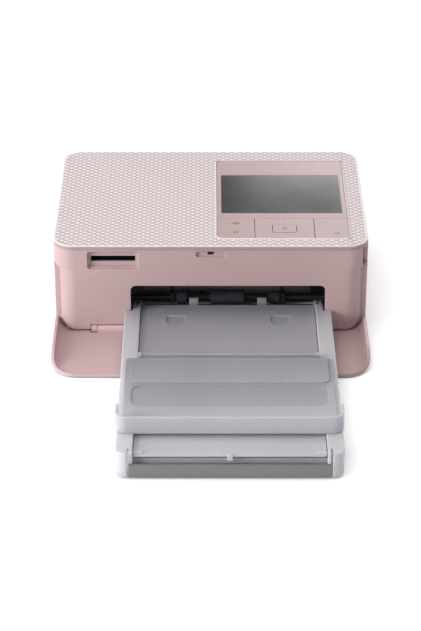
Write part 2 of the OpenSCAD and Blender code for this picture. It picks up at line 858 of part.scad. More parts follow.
// Smooth plate round the display
module control_panel() {
    color(fascia_colour) difference() {
        union() {
            flat(panel_under, panel_top) intersection() {
                plan(panel_x0, panel_y, panel_x1, panel_y1, panel_r);
                translate([panel_x0, keys_y1]) square([panel_w, panel_y1]);
            }
            // Posts that carry the key board
            for (x = [panel_x0 + 5, panel_x1 - 5, nav_x])
                translate([x, keys_y1 + 3, board_top]) cylinder(r = 1.8, h = panel_under - board_top + eps);
        }
        flat(panel_under - eps, panel_top + eps) screen_plan(0);
    }
}

// Outline of the display window
module screen_plan(inset) {
    plan(panel_x - screen_w / 2 + inset, panel_y + screen_y + inset,
        panel_x + screen_w / 2 - inset, panel_y + screen_y + screen_d - inset, 0.8);
}

// Clear cover of the display
module screen_window() {
    color([0.35, 0.35, 0.38]) flat(panel_top - 1.1, panel_top - 0.05) screen_plan(0.1);
}

// Display module under the window
module lcd_module() {
    color(dark_colour) {
        flat(panel_under - 3, panel_under - 0.2)
            plan(panel_x - screen_w / 2 - 0.9, panel_y + screen_y - 1, panel_x + screen_w / 2 + 0.9,
                panel_y + screen_y + screen_d + 3, 0.6);
        flat(panel_under - 0.2 - eps, panel_top - 1.3) screen_plan(0.4);
    }
}

// Flap between two sides of the key strip, with the panel's round corner where it reaches one
module key_flap(x0, x1) {
    flat(panel_under, panel_top) intersection() {
        plan(panel_x0, panel_y, panel_x1, panel_y1, panel_r);
        translate([x0, panel_y]) square([x1 - x0, keys_d - seam]);
    }
}

// Left key, a rocker for menu and back
module menu_key() {
    color(shell_colour) {
        key_flap(panel_x0, nav_x0 - slit_w / 2);
        for (y = [panel_y + stem_in, panel_y + slit_l - 3])
            translate([panel_x0 + left_key_w / 2, y, board_top + 1.1])
                cylinder(r = stem_r, h = panel_under - board_top);
    }
}

// Right key, the power switch
module power_key() {
    color(shell_colour) {
        key_flap(nav_x1 + slit_w / 2, panel_x1);
        translate([panel_x1 - right_key_w / 2, panel_y + stem_in + 1, board_top + 1.1])
            cylinder(r = stem_r, h = panel_under - board_top);
    }
}

// Ring under the pad that lets it tilt sideways
module nav_carrier() {
    color(dark_colour) {
        flat(pivot_z - carrier_t / 2, pivot_z + carrier_t / 2) difference() {
            plan(nav_x - carrier_w / 2, nav_y - carrier_d / 2, nav_x + carrier_w / 2,
                nav_y + carrier_d / 2, 1);
            plan(nav_x - carrier_w / 2 + carrier_rim, nav_y - carrier_d / 2 + carrier_rim,
                nav_x + carrier_w / 2 - carrier_rim, nav_y + carrier_d / 2 - carrier_rim, 0.5);
        }
        bar_y(nav_y - carrier_d / 2 - post_t, nav_y - carrier_d / 2 + 1, nav_x, pivot_z, pivot_r);
        bar_y(nav_y + carrier_d / 2 - 1, nav_y + carrier_d / 2 + post_t, nav_x, pivot_z, pivot_r);
        bar_x(nav_x - carrier_w / 2 - post_t, nav_x - carrier_w / 2 + 1, nav_y, pivot_z, pivot_r);
        bar_x(nav_x + carrier_w / 2 - 1, nav_x + carrier_w / 2 + post_t, nav_y, pivot_z, pivot_r);
    }
}

// Four-way pad round the middle button
module nav_pad() {
    color(shell_colour) difference() {
        union() {
            key_flap(nav_x0 + slit_w / 2, nav_x1 - slit_w / 2);
            for (side = [-1, 1]) {
                x = nav_x + side * (carrier_w / 2 + seam + post_t / 2);
                block(x - post_t / 2, nav_y - post_w / 2, pivot_z - 0.8, x + post_t / 2,
                    nav_y + post_w / 2, panel_under + eps);
            }
        }
        flat(panel_under - eps, panel_top + eps)
            plan(nav_x - ok_w / 2 - key_gap, nav_y - ok_d / 2 - key_gap, nav_x + ok_w / 2 + key_gap,
                nav_y + ok_d / 2 + key_gap, 1.8);
        bar_x(nav_x - carrier_w, nav_x + carrier_w, nav_y, pivot_z, pivot_r + run_gap);
    }
}

// Middle button of the pad
module ok_button() {
    color(shell_colour) {
        flat(panel_under - 0.6, panel_top + 0.1)
            plan(nav_x - ok_w / 2, nav_y - ok_d / 2, nav_x + ok_w / 2, nav_y + ok_d / 2, 1.5);
        translate([nav_x, nav_y, board_top + key_travel + 0.7]) cylinder(r = 2, h = 1.6);
    }
}

// Circuit board under the keys, with its contact domes and the pad's posts
module key_board() {
    x_menu = panel_x0 + left_key_w / 2;
    color(board_colour) difference() {
        union() {
            block(panel_x0 + 1.5, panel_y + 1.5, board_top - board_t, panel_x1 - 1.5, keys_y1 + 5.5,
                board_top);
            for (spot = [[x_menu, panel_y + stem_in], [x_menu, panel_y + slit_l - 3], [nav_x, nav_y],
                [panel_x1 - right_key_w / 2, panel_y + stem_in + 1]])
                translate([spot[0], spot[1], board_top]) cylinder(r = 2.4, h = 0.5);
            for (side = [-1, 1]) {
                y = nav_y + side * (carrier_d / 2 + seam + post_t / 2);
                block(nav_x - post_w / 2, y - post_t / 2, board_top - eps, nav_x + post_w / 2,
                    y + post_t / 2, pivot_z + 0.9);
            }
        }
        bar_y(nav_y - carrier_d, nav_y + carrier_d, nav_x, pivot_z, pivot_r + run_gap);
    }
}

// Electronics

// Main board above the gears
module main_board() {
    color(board_colour) difference() {
        union() {
            block(board_x0, board_y0, board_z, board_x1, board_y1, board_z + board_t + 0.4);
            for (i = [0:2])
                block(board_x0 + 6, board_y0 + 12 + i * 20, board_z + board_t, board_x0 + 20,
                    board_y0 + 24 + i * 20, board_z + board_t + 1.8);
        }
        for (y = [board_y0 + 4, board_y1 - 4])
            translate([board_x0 + 3, y, board_z - eps]) cylinder(r = 1.6, h = 4);
    }
}

// Socket for the memory card, behind the slot in the fascia
module card_socket() {
    color(steel_colour) difference() {
        block(card_x - slot_w / 2 - 1.2, card_deep + 1.6, slot_z - slot_h / 2 - 0.8,
            card_x + slot_w / 2 + 1.2, card_deep + socket_l, slot_z + slot_h / 2 + 0.8);
        block(card_x - slot_w / 2, card_deep + 1, slot_z - slot_h / 2, card_x + slot_w / 2,
            card_deep + socket_l - 1.5, slot_z + slot_h / 2);
    }
}

// Data port on the main board, behind the cut in the left wall
module usb_port() {
    color(steel_colour) difference() {
        side_cut(-half_w + wall + seam, -half_w + wall + seam + port_l) port_plan(0);
        side_cut(-half_w, -half_w + wall + seam + port_l - 1.5) port_plan(0.4);
    }
    color(dark_colour)
        block(-half_w + wall + seam + 1, port_y - port_w / 2 + 1.6, port_z - 0.3,
            -half_w + wall + seam + port_l - 0.5, port_y + port_w / 2 - 1.6, port_z + 0.3);
}

// Power socket behind the rear panel
module power_socket() {
    color(dark_colour) {
        difference() {
            block(jack_x - jack_half, back_y - wall - jack_l, jack_z - 5, jack_x + jack_half,
                back_y - wall - 1.8, board_z);
            bar_y(back_y - wall - jack_l + 1, back_y, jack_x, jack_z, jack_r);
        }
        bar_y(back_y - wall - jack_l + 0.5, back_y - wall - 2.5, jack_x, jack_z, 0.8);
    }
}

// Paper drive

// One tooth of a gear, pointing along +X, with involute flanks
module tooth(teeth) {
    r = pitch_r(teeth);
    base = r * cos(pressure);
    root = r - dedendum * gear_m;
    tip = r + addendum * gear_m;
    start = max(base, root);
    half_at_pitch = 90 / teeth - backlash / 4 / r * 180 / PI;
    flank = [for (k = [0:4]) start + (tip - start) * k / 4];
    polygon(concat(
        [[root * 0.9 * cos(half_at_pitch + 2), -root * 0.9 * sin(half_at_pitch + 2)]],
        [for (q = flank) q * [cos(flank_at(q, r, base, half_at_pitch)),
            -sin(flank_at(q, r, base, half_at_pitch))]],
        [for (k = [4:-1:0]) let (q = flank[k]) q * [cos(flank_at(q, r, base, half_at_pitch)),
            sin(flank_at(q, r, base, half_at_pitch))]],
        [[root * 0.9 * cos(half_at_pitch + 2), root * 0.9 * sin(half_at_pitch + 2)]]));
}

// Half the angle that a tooth fills at radius q
function flank_at(q, r, base, half) = half + roll_off(r, base) - roll_off(q, base);
function roll_off(q, base) = sqrt(pow(q / base, 2) - 1) * 180 / PI - acos(min(1, base / q));

// A spur gear round an axis along X, with a bore for its shaft
module gear(x0, x1, y, z, teeth, turn, bore) {
    translate([x0, y, z]) rotate([90, 0, 90]) rotate(turn) linear_extrude(x1 - x0) difference() {
        union() {
            circle(pitch_r(teeth) - dedendum * gear_m, $fn = 96);
            for (i = [0:teeth - 1]) rotate(i * 360 / teeth) tooth(teeth);
        }
        circle(bore);
    }
}

// Sheet-metal chassis: two side plates with the deck, cross members and shaft bearings
module chassis() {
    color(steel_colour) difference() {
        union() {
            side_cut(plate_l - plate_t, plate_l) side_plate();
            side_cut(plate_r, plate_r + plate_t) side_plate();
            // Deck under the cassette and the paper path
            block(plate_l - eps, plate_y0, deck_z - deck_t, plate_r + eps, plate_y1, deck_z);
            // Cross members at the top, front and back
            block(plate_l - eps, plate_y1 - cross_w, plate_top - 1.5, plate_r + eps, plate_y1, plate_top);
            block(plate_l - eps, plate_y1 - 1.5, plate_top - 14, plate_r + eps, plate_y1, plate_top);
            // Feet that stand on the bottom cover
            for (x = [plate_l - 7, plate_r + plate_t - eps], y = [plate_y0 + 22, plate_y1 - 18])
                block(x, y, base_z, x + 7 - plate_t + eps * 2, y + 10, base_z + 1.4);
            // Stub of the idler gear
            bar_x(plate_l - plate_t - 1.6 - gear_w, plate_l - eps, idler_y, idler_z, shaft_r);
            // Brackets under the main board
            for (y = [board_y0 + 6, board_y1 - 16])
                block(board_x0 + 2, y, board_z - 1.2, plate_l - eps, y + 8, board_z);
        }
        bar_x(plate_l - bore_over, plate_r + bore_over, pick_y, pick_z, pick_shaft_r + run_gap);
        bar_x(plate_l - bore_over, plate_r + bore_over, capstan_y, platen_z, capstan_shaft_r + run_gap);
        bar_x(plate_l - bore_over, plate_r + bore_over, platen_y, platen_z, platen_shaft_r + run_gap);
        bar_x(plate_l - bore_over, plate_r + bore_over, head_pivot_y, head_pivot_z, pin_r + run_gap);
        // Pin of the eject lever
        bar_x(plate_r - eps, plate_r + plate_t + eps, lever_y, lever_z, pin_r + run_gap);
        // Motor shaft
        bar_x(plate_l - plate_t - eps, plate_l + eps, motor_y, motor_z, shaft_r + 1);
        // Way in for the ink cassette, through the right plate
        side_cut(plate_r - eps, plate_r + plate_t + eps) ink_way(0.8);
        // Ends of the ink cassette's spools, in the left plate
        for (y = [supply_y, takeup_y])
            bar_x(plate_l - plate_t - eps, plate_l + eps, y, spool_z, core_r + 1);
        // Slots for the paper's way out of the deck
        block(bay_x - nip_half, capstan_y - 8, 0, bay_x + nip_half, capstan_y + 8, deck_z + eps);
        block(bay_x - nip_half, platen_y - 9, 0, bay_x + nip_half, platen_y + 9, deck_z + eps);
    }
}

// Outline of a side plate seen from the right
module side_plate() {
    polygon([[plate_y0, base_z], [plate_y1, base_z], [plate_y1, plate_top], [plate_step, plate_top],
        [plate_step, plate_low], [plate_y0 + plate_cut, plate_low], [plate_y0, plate_low - plate_cut]]);
}

// Outline of the ink cassette's way in, seen from the right
module ink_way(gap) {
    for (y = [supply_y, takeup_y]) translate([y, spool_z]) circle(tube_r + gap);
    translate([supply_y, spool_z - way_half - gap]) square([spool_pitch, (way_half + gap) * 2]);
}

// Cross bar behind the pick-up rollers, with the arms that hold their shaft
module paper_guide() {
    color(dark_colour) difference() {
        union() {
            block(plate_l + seam, guide_y, guide_z, plate_r - seam, guide_y + guide_t, guide_z + guide_h);
            for (side = [-1, 1]) {
                x = bay_x + side * guide_x;
                block(x - arm_t / 2, pick_y - arm_r, pick_z - arm_t, x + arm_t / 2, pick_y + arm_r,
                    pick_z + arm_r + 0.6);
                block(x - arm_t / 2, pick_y + 1.5, pick_z + 1.5, x + arm_t / 2, guide_y + eps,
                    guide_z + arm_t + 1.1);
            }
            for (i = [-5:5])
                block(bay_x + i * rib_pitch - rib_t / 2, guide_y - 1, guide_z - eps,
                    bay_x + i * rib_pitch + rib_t / 2, guide_y + eps, guide_z + guide_h);
        }
        bar_x(plate_l, plate_r, pick_y, pick_z, pick_shaft_r + run_gap);
    }
}

// Steel shaft of the pick-up rollers
module pick_shaft() {
    color(steel_colour) bar_x(gear_x0 - 1, plate_r + plate_t + 1, pick_y, pick_z, pick_shaft_r);
}

// Wide middle roller that feeds the paper
module pick_roller() {
    color([0.13, 0.14, 0.2]) difference() {
        union() {
            bar_x(bay_x - pick_w / 2, bay_x + pick_w / 2, pick_y, pick_z, pick_r);
            bar_x(bay_x - pick_w / 2 - 1.6, bay_x + pick_w / 2 + 1.6, pick_y, pick_z, pick_shaft_r + 0.9);
        }
        bar_x(bay_x - pick_w, bay_x + pick_w, pick_y, pick_z, pick_shaft_r);
    }
}

// Two small rollers beside the middle one
module side_rollers() {
    color([0.13, 0.14, 0.2]) for (side = [-1, 1]) difference() {
        bar_x(bay_x + side * roller_x - 2.9, bay_x + side * roller_x + 2.9, pick_y, pick_z, pick_r - 0.4);
        bar_x(bay_x + side * roller_x - 4, bay_x + side * roller_x + 4, pick_y, pick_z, pick_shaft_r);
    }
}

// Gear of the pick-up shaft
module pick_gear() {
    color([0.9, 0.9, 0.88]) gear(gear_x0, gear_x1, pick_y, pick_z, pick_teeth, pick_turn, pick_shaft_r);
}

// Capstan that pulls the paper through
module capstan_roller() {
    color(steel_colour) {
        bar_x(gear_x0 - 1, plate_r + plate_t + 1, capstan_y, platen_z, capstan_shaft_r);
        bar_x(bay_x - nip_half - 1, bay_x + nip_half + 1, capstan_y, platen_z, capstan_r);
    }
}

// Gear of the capstan
module capstan_gear() {
    color([0.9, 0.9, 0.88])
        gear(gear_x0, gear_x1, capstan_y, platen_z, capstan_teeth, capstan_turn, capstan_shaft_r);
}

// Idler between the capstan and the pick-up shaft
module idler_gear() {
    color([0.9, 0.9, 0.88])
        gear(gear_x0, gear_x1, idler_y, idler_z, idler_teeth, idler_turn, shaft_r + run_gap);
}

// Steel shaft of the platen roller
module platen_shaft() {
    color(steel_colour) bar_x(gear_x0 - 1, plate_r + plate_t + 1, platen_y, platen_z, platen_shaft_r);
}

// Rubber sleeve of the platen roller
module platen_roller() {
    color(dark_colour) difference() {
        bar_x(bay_x - nip_half - 2, bay_x + nip_half + 2, platen_y, platen_z, platen_r);
        bar_x(bay_x - nip_half - 3, bay_x + nip_half + 3, platen_y, platen_z, platen_shaft_r);
    }
}

// Gear of the platen roller
module platen_gear() {
    color([0.9, 0.9, 0.88])
        gear(gear_x0, gear_x1, platen_y, platen_z, platen_teeth, platen_turn, platen_shaft_r);
}

// Drive motor, left of the gears
module motor() {
    color(grey_colour) difference() {
        union() {
            bar_x(gear_x0 - 1 - motor_l, gear_x0 - 1, motor_y, motor_z, motor_r);
            block(gear_x0 - 2.2, motor_y - 5, motor_z, gear_x0 - 1, motor_y + 5, motor_z + motor_r + 2.4);
            block(gear_x0 - 2.2, motor_y - 5, motor_z + motor_r + 1.2, plate_l - plate_t,
                motor_y + 5, motor_z + motor_r + 2.4);
        }
        bar_x(gear_x0 - 9, gear_x0, motor_y, motor_z, shaft_r + run_gap);
    }
}

// Motor pinion on its shaft
module motor_pinion() {
    color([0.75, 0.62, 0.35]) {
        gear(gear_x0, gear_x1, motor_y, motor_z, pinion_teeth, pinion_turn, shaft_r);
        bar_x(gear_x0 - 8, gear_x1 + 0.4, motor_y, motor_z, shaft_r);
    }
}

// Thermal head on the arm that presses it down
module thermal_head() {
    color(grey_colour) {
        side_cut(bay_x - nip_half, bay_x + nip_half) polygon([
            [platen_y - 1.5, head_z], [platen_y + 2.5, head_z], [sink_y + sink_d, head_z + 1.6],
            [sink_y + sink_d, head_z + head_h], [sink_y, head_z + head_h], [sink_y, head_z + 1.6]]);
        for (side = [-1, 1])
            side_cut(bay_x + side * arm_x - 1.2, bay_x + side * arm_x + 1.2) {
                translate([head_pivot_y, head_pivot_z]) circle(2.6);
                polygon([[head_pivot_y - 2, head_pivot_z], [head_pivot_y + 2, head_pivot_z],
                    [platen_y + 4, head_z + head_h], [platen_y + 4, head_z + 1.6],
                    [platen_y - 4, head_z + 1.6]]);
            }
        for (side = [-1, 1])
            bar_x(side > 0 ? bay_x + nip_half - 1 : bay_x - arm_x - 1,
                side > 0 ? bay_x + arm_x + 1 : bay_x - nip_half + 1, platen_y, head_z + 2.8, 1);
        bar_x(plate_l - plate_t, plate_r + plate_t, head_pivot_y, head_pivot_z, pin_r);
    }
}

// Finned heat sink on the head
module heat_sink() {
    color(steel_colour) {
        block(bay_x - fin_half, sink_y, head_z + head_h, bay_x + fin_half, sink_y + sink_d,
            head_z + head_h + sink_t);
        for (i = [0:2]) {
            y = sink_y + fin_t / 2 + i * (sink_d - fin_t * 2) / 2;
            block(bay_x - fin_half, y, head_z + head_h + sink_t - eps, bay_x + fin_half, y + fin_t,
                head_z + head_h + sink_t + fin_h);
        }
    }
}

// Ink door and ink cassette

// Door in the right side
module ink_door() {
    color(shell_colour) {
        block(half_w - wall, ink_door_y, barrel_z, half_w, ink_y1, ink_door_top);
        bar_y(ink_door_y, ink_y1, barrel_x, barrel_z, barrel_r);
        bar_y(ink_door_y - 2, ink_y1 + 2, barrel_x, barrel_z, pin_r);
        // Catch at the top
        block(half_w - wall - 1.4, (ink_door_y + ink_y1) / 2 - catch_half, ink_door_top - 3,
            half_w - wall + eps, (ink_door_y + ink_y1) / 2 + catch_half, ink_door_top - 1.4);
    }
}

// Shell of the ink cassette: two tubes with end bridges and a grip
module ink_shell() {
    color([0.25, 0.25, 0.27]) difference() {
        union() {
            side_cut(ink_left, ink_right) for (y = [supply_y, takeup_y])
                translate([y, spool_z]) circle(tube_r);
            for (x = [[ink_left, ink_left + 2], [ink_right - 4, ink_right]])
                block(x[0], supply_y, spool_z - bridge_half, x[1], takeup_y, spool_z + bridge_half);
            block(ink_right - 1, spool_mid - grip_half, spool_z - 1, ink_right + 1.6,
                spool_mid + grip_half, spool_z + 1);
        }
        for (y = [supply_y, takeup_y]) {
            bar_x(ink_left + 2, ink_right - 2, y, spool_z, tube_r - tube_t);
            bar_x(ink_left - eps, ink_right - 1, y, spool_z, core_r + run_gap);
        }
        // Slots that let the ribbon out towards the platen
        block(film_x0 - 0.4, supply_y + 1, film_z - film_t, film_x1 + 0.4, supply_y + tube_r + eps,
            film_z + film_t * 2);
        block(film_x0 - 0.4, takeup_y - tube_r - eps, film_z - film_t, film_x1 + 0.4, takeup_y - 1,
            film_z + film_t * 2);
    }
}

// A spool: its core, two flanges and the ribbon wound on it
module spool(y, wound) {
    difference() {
        union() {
            bar_x(ink_left, ink_right - 1.4, y, spool_z, core_r);
            bar_x(film_x0, film_x1, y, spool_z, wound);
        }
        bar_x(ink_left - eps, ink_left + 4, y, spool_z, 1.6);
    }
}

// Spool that the ribbon comes from
module supply_spool() {
    color([0.72, 0.66, 0.2]) spool(supply_y, roll_r);
}

// Spool that takes the used ribbon
module takeup_spool() {
    color([0.62, 0.6, 0.62]) spool(takeup_y, core_r + 1.2);
}

// Stretch of ribbon between the spools
module ink_ribbon() {
    color([0.72, 0.66, 0.2])
        block(film_x0, supply_y + 2, film_z, film_x1, takeup_y - 2, film_z + film_t);
}

// Lever that releases the ink cassette
module eject_lever() {
    color([0.85, 0.5, 0.2]) {
        side_cut(plate_r + plate_t + 0.4, plate_r + plate_t + 2.4) {
            translate([lever_y, lever_z]) circle(3);
            polygon([[lever_y - 2, lever_z], [lever_y + 2, lever_z], [lever_y + 3, lever_z + lever_l],
                [lever_y - 1, lever_z + lever_l]]);
        }
        block(plate_r + plate_t + 0.4, lever_y - 1, lever_z + lever_l - 1, plate_r + plate_t + grip_l,
            lever_y + 3, lever_z + lever_l + 1);
        bar_x(plate_r + seam, plate_r + plate_t + 1, lever_y, lever_z, pin_r);
    }
}

// Paper cassette

// Base of the cassette: floor, hollow side rails and corner legs
module cassette_base() {
    color(frost_colour) difference() {
        union() {
            block(bay_x - well_half - rail_t, front_wall_y, tray_z, bay_x + well_half + rail_t, tray_in,
                tray_z + tray_floor);
            for (side = [-1, 1]) {
                inner0 = bay_x + side * (well_half + rail_t / 2);
                // Inner walls of the well, low where the pick-up shaft passes over them
                side_cut(inner0 - rail_t / 2, inner0 + rail_t / 2) rail_side(tray_near + 0.6);
                // Outer walls and the tops of the rails inside and outside the printer
                side_cut(side > 0 ? bay_x + tray_in_w / 2 - rail_t : bay_x - tray_in_w / 2,
                    side > 0 ? bay_x + tray_in_w / 2 : bay_x - tray_in_w / 2 + rail_t)
                    rail_side(shoulder_y - rail_t);
                rail_end(side);
                rail_top(side, tray_w / 2, tray_near + leg_w, shoulder_y);
                x_out = bay_x + side * tray_w / 2;
                block(min(x_out, x_out - side * rail_t), tray_near + leg_w - eps, tray_z,
                    max(x_out, x_out - side * rail_t), shoulder_y, rail_z);
                x_in = bay_x + side * well_half;
                block(min(x_out, x_in), shoulder_y - rail_t, tray_z, max(x_out, x_in), shoulder_y, rail_z);
                corner_leg(side);
            }
            // Walls across the ends of the well
            block(bay_x - well_half - eps, front_wall_y, tray_z, bay_x + well_half + eps,
                front_wall_y + rail_t, tray_z + 3.2);
            block(bay_x - well_half - eps, tray_in - rail_t, tray_z, bay_x + well_half + eps, tray_in,
                tray_z + 2.4);
            // Stiffening ribs under the floor
            for (i = [1, 2]) {
                y = front_wall_y + i * tray_rib_pitch;
                block(bay_x - well_half, y, tray_z - 1.6, bay_x + well_half, y + rib_t, tray_z + eps);
            }
        }
        // Room for the grey bar
        block(bay_x - bar_w / 2 - seam, tray_near - eps, 0, bay_x + bar_w / 2 + seam,
            tray_near + bar_t + seam, bar_z + seam);
        bar_x(bay_x - well_half - rail_t - eps, bay_x + well_half + rail_t + eps, lid_axis_y, lid_axis_z,
            lid_pin_r + run_gap);
        bar_x(bay_x - well_half - rail_t - eps, bay_x + well_half + rail_t + eps, plate_hinge_y,
            lift_z + lift_t / 2, plate_pin_r + run_gap);
    }
}

// A rail's wall seen from the side, full height in front and low under the pick-up shaft
module rail_side(y0) {
    translate([y0, tray_z]) square([tray_in - y0, low_rail_z - tray_z]);
    translate([y0, tray_z]) square([rail_back - 3 - y0, rail_z - tray_z]);
    translate([rail_back - 6, tray_z]) square([6, rail_z - tray_z - 3]);
    translate([rail_back - 3, rail_z - 3]) circle(3);
}

// The top of a rail, from the well's edge to the given half width
module rail_top(side, half, y0, y1) {
    x_in = bay_x + side * well_half;
    x_out = bay_x + side * half;
    block(min(x_in, x_out), y0, rail_z - rail_t * 0.7, max(x_in, x_out), y1, rail_z);
}

// The round end of a rail's top, inside the opening
module rail_end(side) {
    x_in = bay_x + side * (well_half + eps);
    x_out = bay_x + side * tray_in_w / 2;
    flat(rail_z - rail_t * 0.7, rail_z) intersection() {
        plan(bay_x - tray_in_w / 2, -20, bay_x + tray_in_w / 2, rail_back - 2, 4);
        translate([min(x_in, x_out), shoulder_y - rail_t])
            square([abs(x_out - x_in), rail_back - shoulder_y]);
    }
}

// A round corner of the cassette's near end, with its foot
module corner_leg(side) {
    x_out = bay_x + side * tray_w / 2;
    x_bar = bay_x + side * (bar_w / 2 + 0.8);
    flat(bar_foot, rail_z) intersection() {
        plan(bay_x - tray_w / 2, tray_near, bay_x + tray_w / 2, 0, leg_w);
        translate([min(x_out, x_bar), tray_near]) square([abs(x_out - x_bar), leg_w + eps]);
    }
}

// Grey bar across the near end
module cassette_end_bar() {
    color(grey_colour) difference() {
        block(bay_x - bar_w / 2, tray_near, bar_foot, bay_x + bar_w / 2, tray_near + bar_t, bar_z);
        block(bay_x - bar_w / 2 + 2, tray_near + 1.4, bar_z - 3.3, bay_x + bar_w / 2 - 2,
            tray_near + bar_t + eps, bar_z + eps);
    }
}

// Sheet that lifts the paper against the pick-up rollers
module lift_plate() {
    color(steel_colour) {
        block(bay_x - well_half + 1.5, plate_hinge_y, lift_z, bay_x + well_half - 1.5, tray_in - rail_t - 0.6,
            lift_z + lift_t);
        bar_x(bay_x - well_half - rail_t, bay_x + well_half + rail_t, plate_hinge_y, lift_z + lift_t / 2,
            plate_pin_r);
    }
}

// Inner lid over the paper, with the ears of the outer lid's hinge
module inner_lid() {
    color(frost_colour) difference() {
        union() {
            flat(lid_z, lid_top) {
                plan(bay_x - lid_half, lid_near, bay_x + lid_half, lid_far, 1.2);
                for (side = [-1, 1])
                    plan(bay_x + side * tab_x - tab_half, lid_far - 4, bay_x + side * tab_x + tab_half,
                        lid_far + 3.6, 0.8);
            }
            // Tabs between the rollers
            for (side = [-1, 1])
                block(bay_x + side * tab_x - tab_half, lid_far + 2.2, lid_z,
                    bay_x + side * tab_x + tab_half, lid_far + 3.6, lid_top + 3);
            // Hinge bosses at the near end
            for (side = [-1, 1]) {
                x0 = bay_x + side * (lid_half - 2.5);
                bar_x(x0 - 2.5, x0 + 2.5, lid_axis_y, lid_axis_z, lid_boss_r);
            }
            bar_x(bay_x - well_half - rail_t, bay_x - lid_half + 2, lid_axis_y, lid_axis_z, lid_pin_r);
            bar_x(bay_x + lid_half - 2, bay_x + well_half + rail_t, lid_axis_y, lid_axis_z, lid_pin_r);
            // Ears of the outer lid's hinge
            for (side = [-1, 1]) {
                x0 = bay_x + side * (lid_half - fold_ear_t / 2);
                bar_x(x0 - fold_ear_t / 2, x0 + fold_ear_t / 2, -fold_y, fold_z, fold_r + 0.4);
                block(x0 - fold_ear_t / 2, -fold_y - fold_r - 0.4, lid_z, x0 + fold_ear_t / 2,
                    -fold_y + fold_r + 0.4, fold_z);
            }
            // Small catch in the middle of the near end
            block(bay_x - 1.5, lid_near - 0.6, lid_z - 2, bay_x + 1.5, lid_near + 1, lid_top + 0.4);
        }
        // Finger marks, straight at the back and round in front
        flat(lid_top - 0.6, lid_top + 1) for (side = [-1, 1]) {
            translate([bay_x + side * moon_x, moon_y]) circle(moon_r);
            translate([bay_x + side * moon_x - moon_r, moon_y]) square([moon_r * 2, moon_r]);
        }
        bar_x(bay_x - lid_half - eps, bay_x + lid_half + eps, -fold_y, fold_z, lid_pin_r + run_gap);
    }
}

// Outer lid, folded open so that it catches the prints
module outer_lid() {
    x0 = bay_x - fold_w / 2;
    x1 = bay_x + fold_w / 2;
    top = fold_plate_z + lid_t;
    color(frost_colour) difference() {
        union() {
            flat(fold_plate_z, top) {
                plan(x0, stop_y + 1, x1, -fold_y - knuckle_room, 2);
                translate([bay_x - lid_half + fold_ear_t + seam, -fold_y - knuckle_room - 3])
                    square([(lid_half - fold_ear_t - seam) * 2, knuckle_room + 3]);
            }
            bar_x(bay_x - lid_half + fold_ear_t + seam, bay_x + lid_half - fold_ear_t - seam, -fold_y,
                fold_z, fold_r);
            bar_x(bay_x - lid_half + seam, bay_x + lid_half - seam, -fold_y, fold_z, lid_pin_r);
            // Raised field next to the hinge
            flat(top - eps, top + 0.7)
                plan(x0 + 2.4, field_y, x1 - 2.4, -fold_y - knuckle_room - 1, 4);
            // End wall with its wings
            flat(fold_plate_z, stop_top) difference() {
                plan(bay_x - outer_half, stop_y, bay_x + outer_half, wing_y, stop_r);
                plan(bay_x - outer_half + stop_t, stop_y + stop_t, bay_x + outer_half - stop_t,
                    wing_y, stop_r - stop_t);
                translate([bay_x - outer_half - eps, stop_y + wing_l])
                    square([outer_half * 2 + eps * 2, 40]);
            }
            // Floor between the wings
            flat(fold_plate_z, top) intersection() {
                plan(bay_x - outer_half, stop_y, bay_x + outer_half, wing_y, stop_r);
                translate([bay_x - outer_half, stop_y]) square([outer_half * 2, wing_l]);
            }
        }
        // Sunk field in the middle
        flat(top - 0.5, top + 2)
            plan(x0 + 4, window_y0, x1 - 4, window_y1, 6);
    }
}

// Everything is shifted along Y, so that the origin lies under the middle of the outline
module placed() {
    translate([0, -origin_y, 0]) children();
}

placed() top_cover();
placed() side_shell();
placed() front_fascia();
placed() rear_panel();
placed() bottom_cover();
placed() feet();
placed() case_screws();
placed() front_door();
placed() control_panel();
placed() screen_window();
placed() lcd_module();
placed() menu_key();
placed() nav_carrier();
placed() nav_pad();
placed() ok_button();
placed() power_key();
placed() key_board();
placed() main_board();
placed() card_socket();
placed() usb_port();
placed() power_socket();
placed() chassis();
placed() paper_guide();
placed() pick_shaft();
placed() pick_roller();
placed() side_rollers();
placed() pick_gear();
placed() capstan_roller();
placed() capstan_gear();
placed() idler_gear();
placed() platen_shaft();
placed() platen_roller();
placed() platen_gear();
placed() motor();
placed() motor_pinion();
placed() thermal_head();
placed() heat_sink();
placed() ink_door();
placed() ink_shell();
placed() supply_spool();
placed() takeup_spool();
placed() ink_ribbon();
placed() eject_lever();
placed() cassette_base();
placed() cassette_end_bar();
placed() lift_plate();
placed() inner_lid();
placed() outer_lid();
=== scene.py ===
# Compact photo printer with its paper cassette in place, dressed for its picture.
# Metres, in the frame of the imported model: X to the right, Y to the back, Z up, table on z = 0.
import json
from math import cos, pi, radians, sin

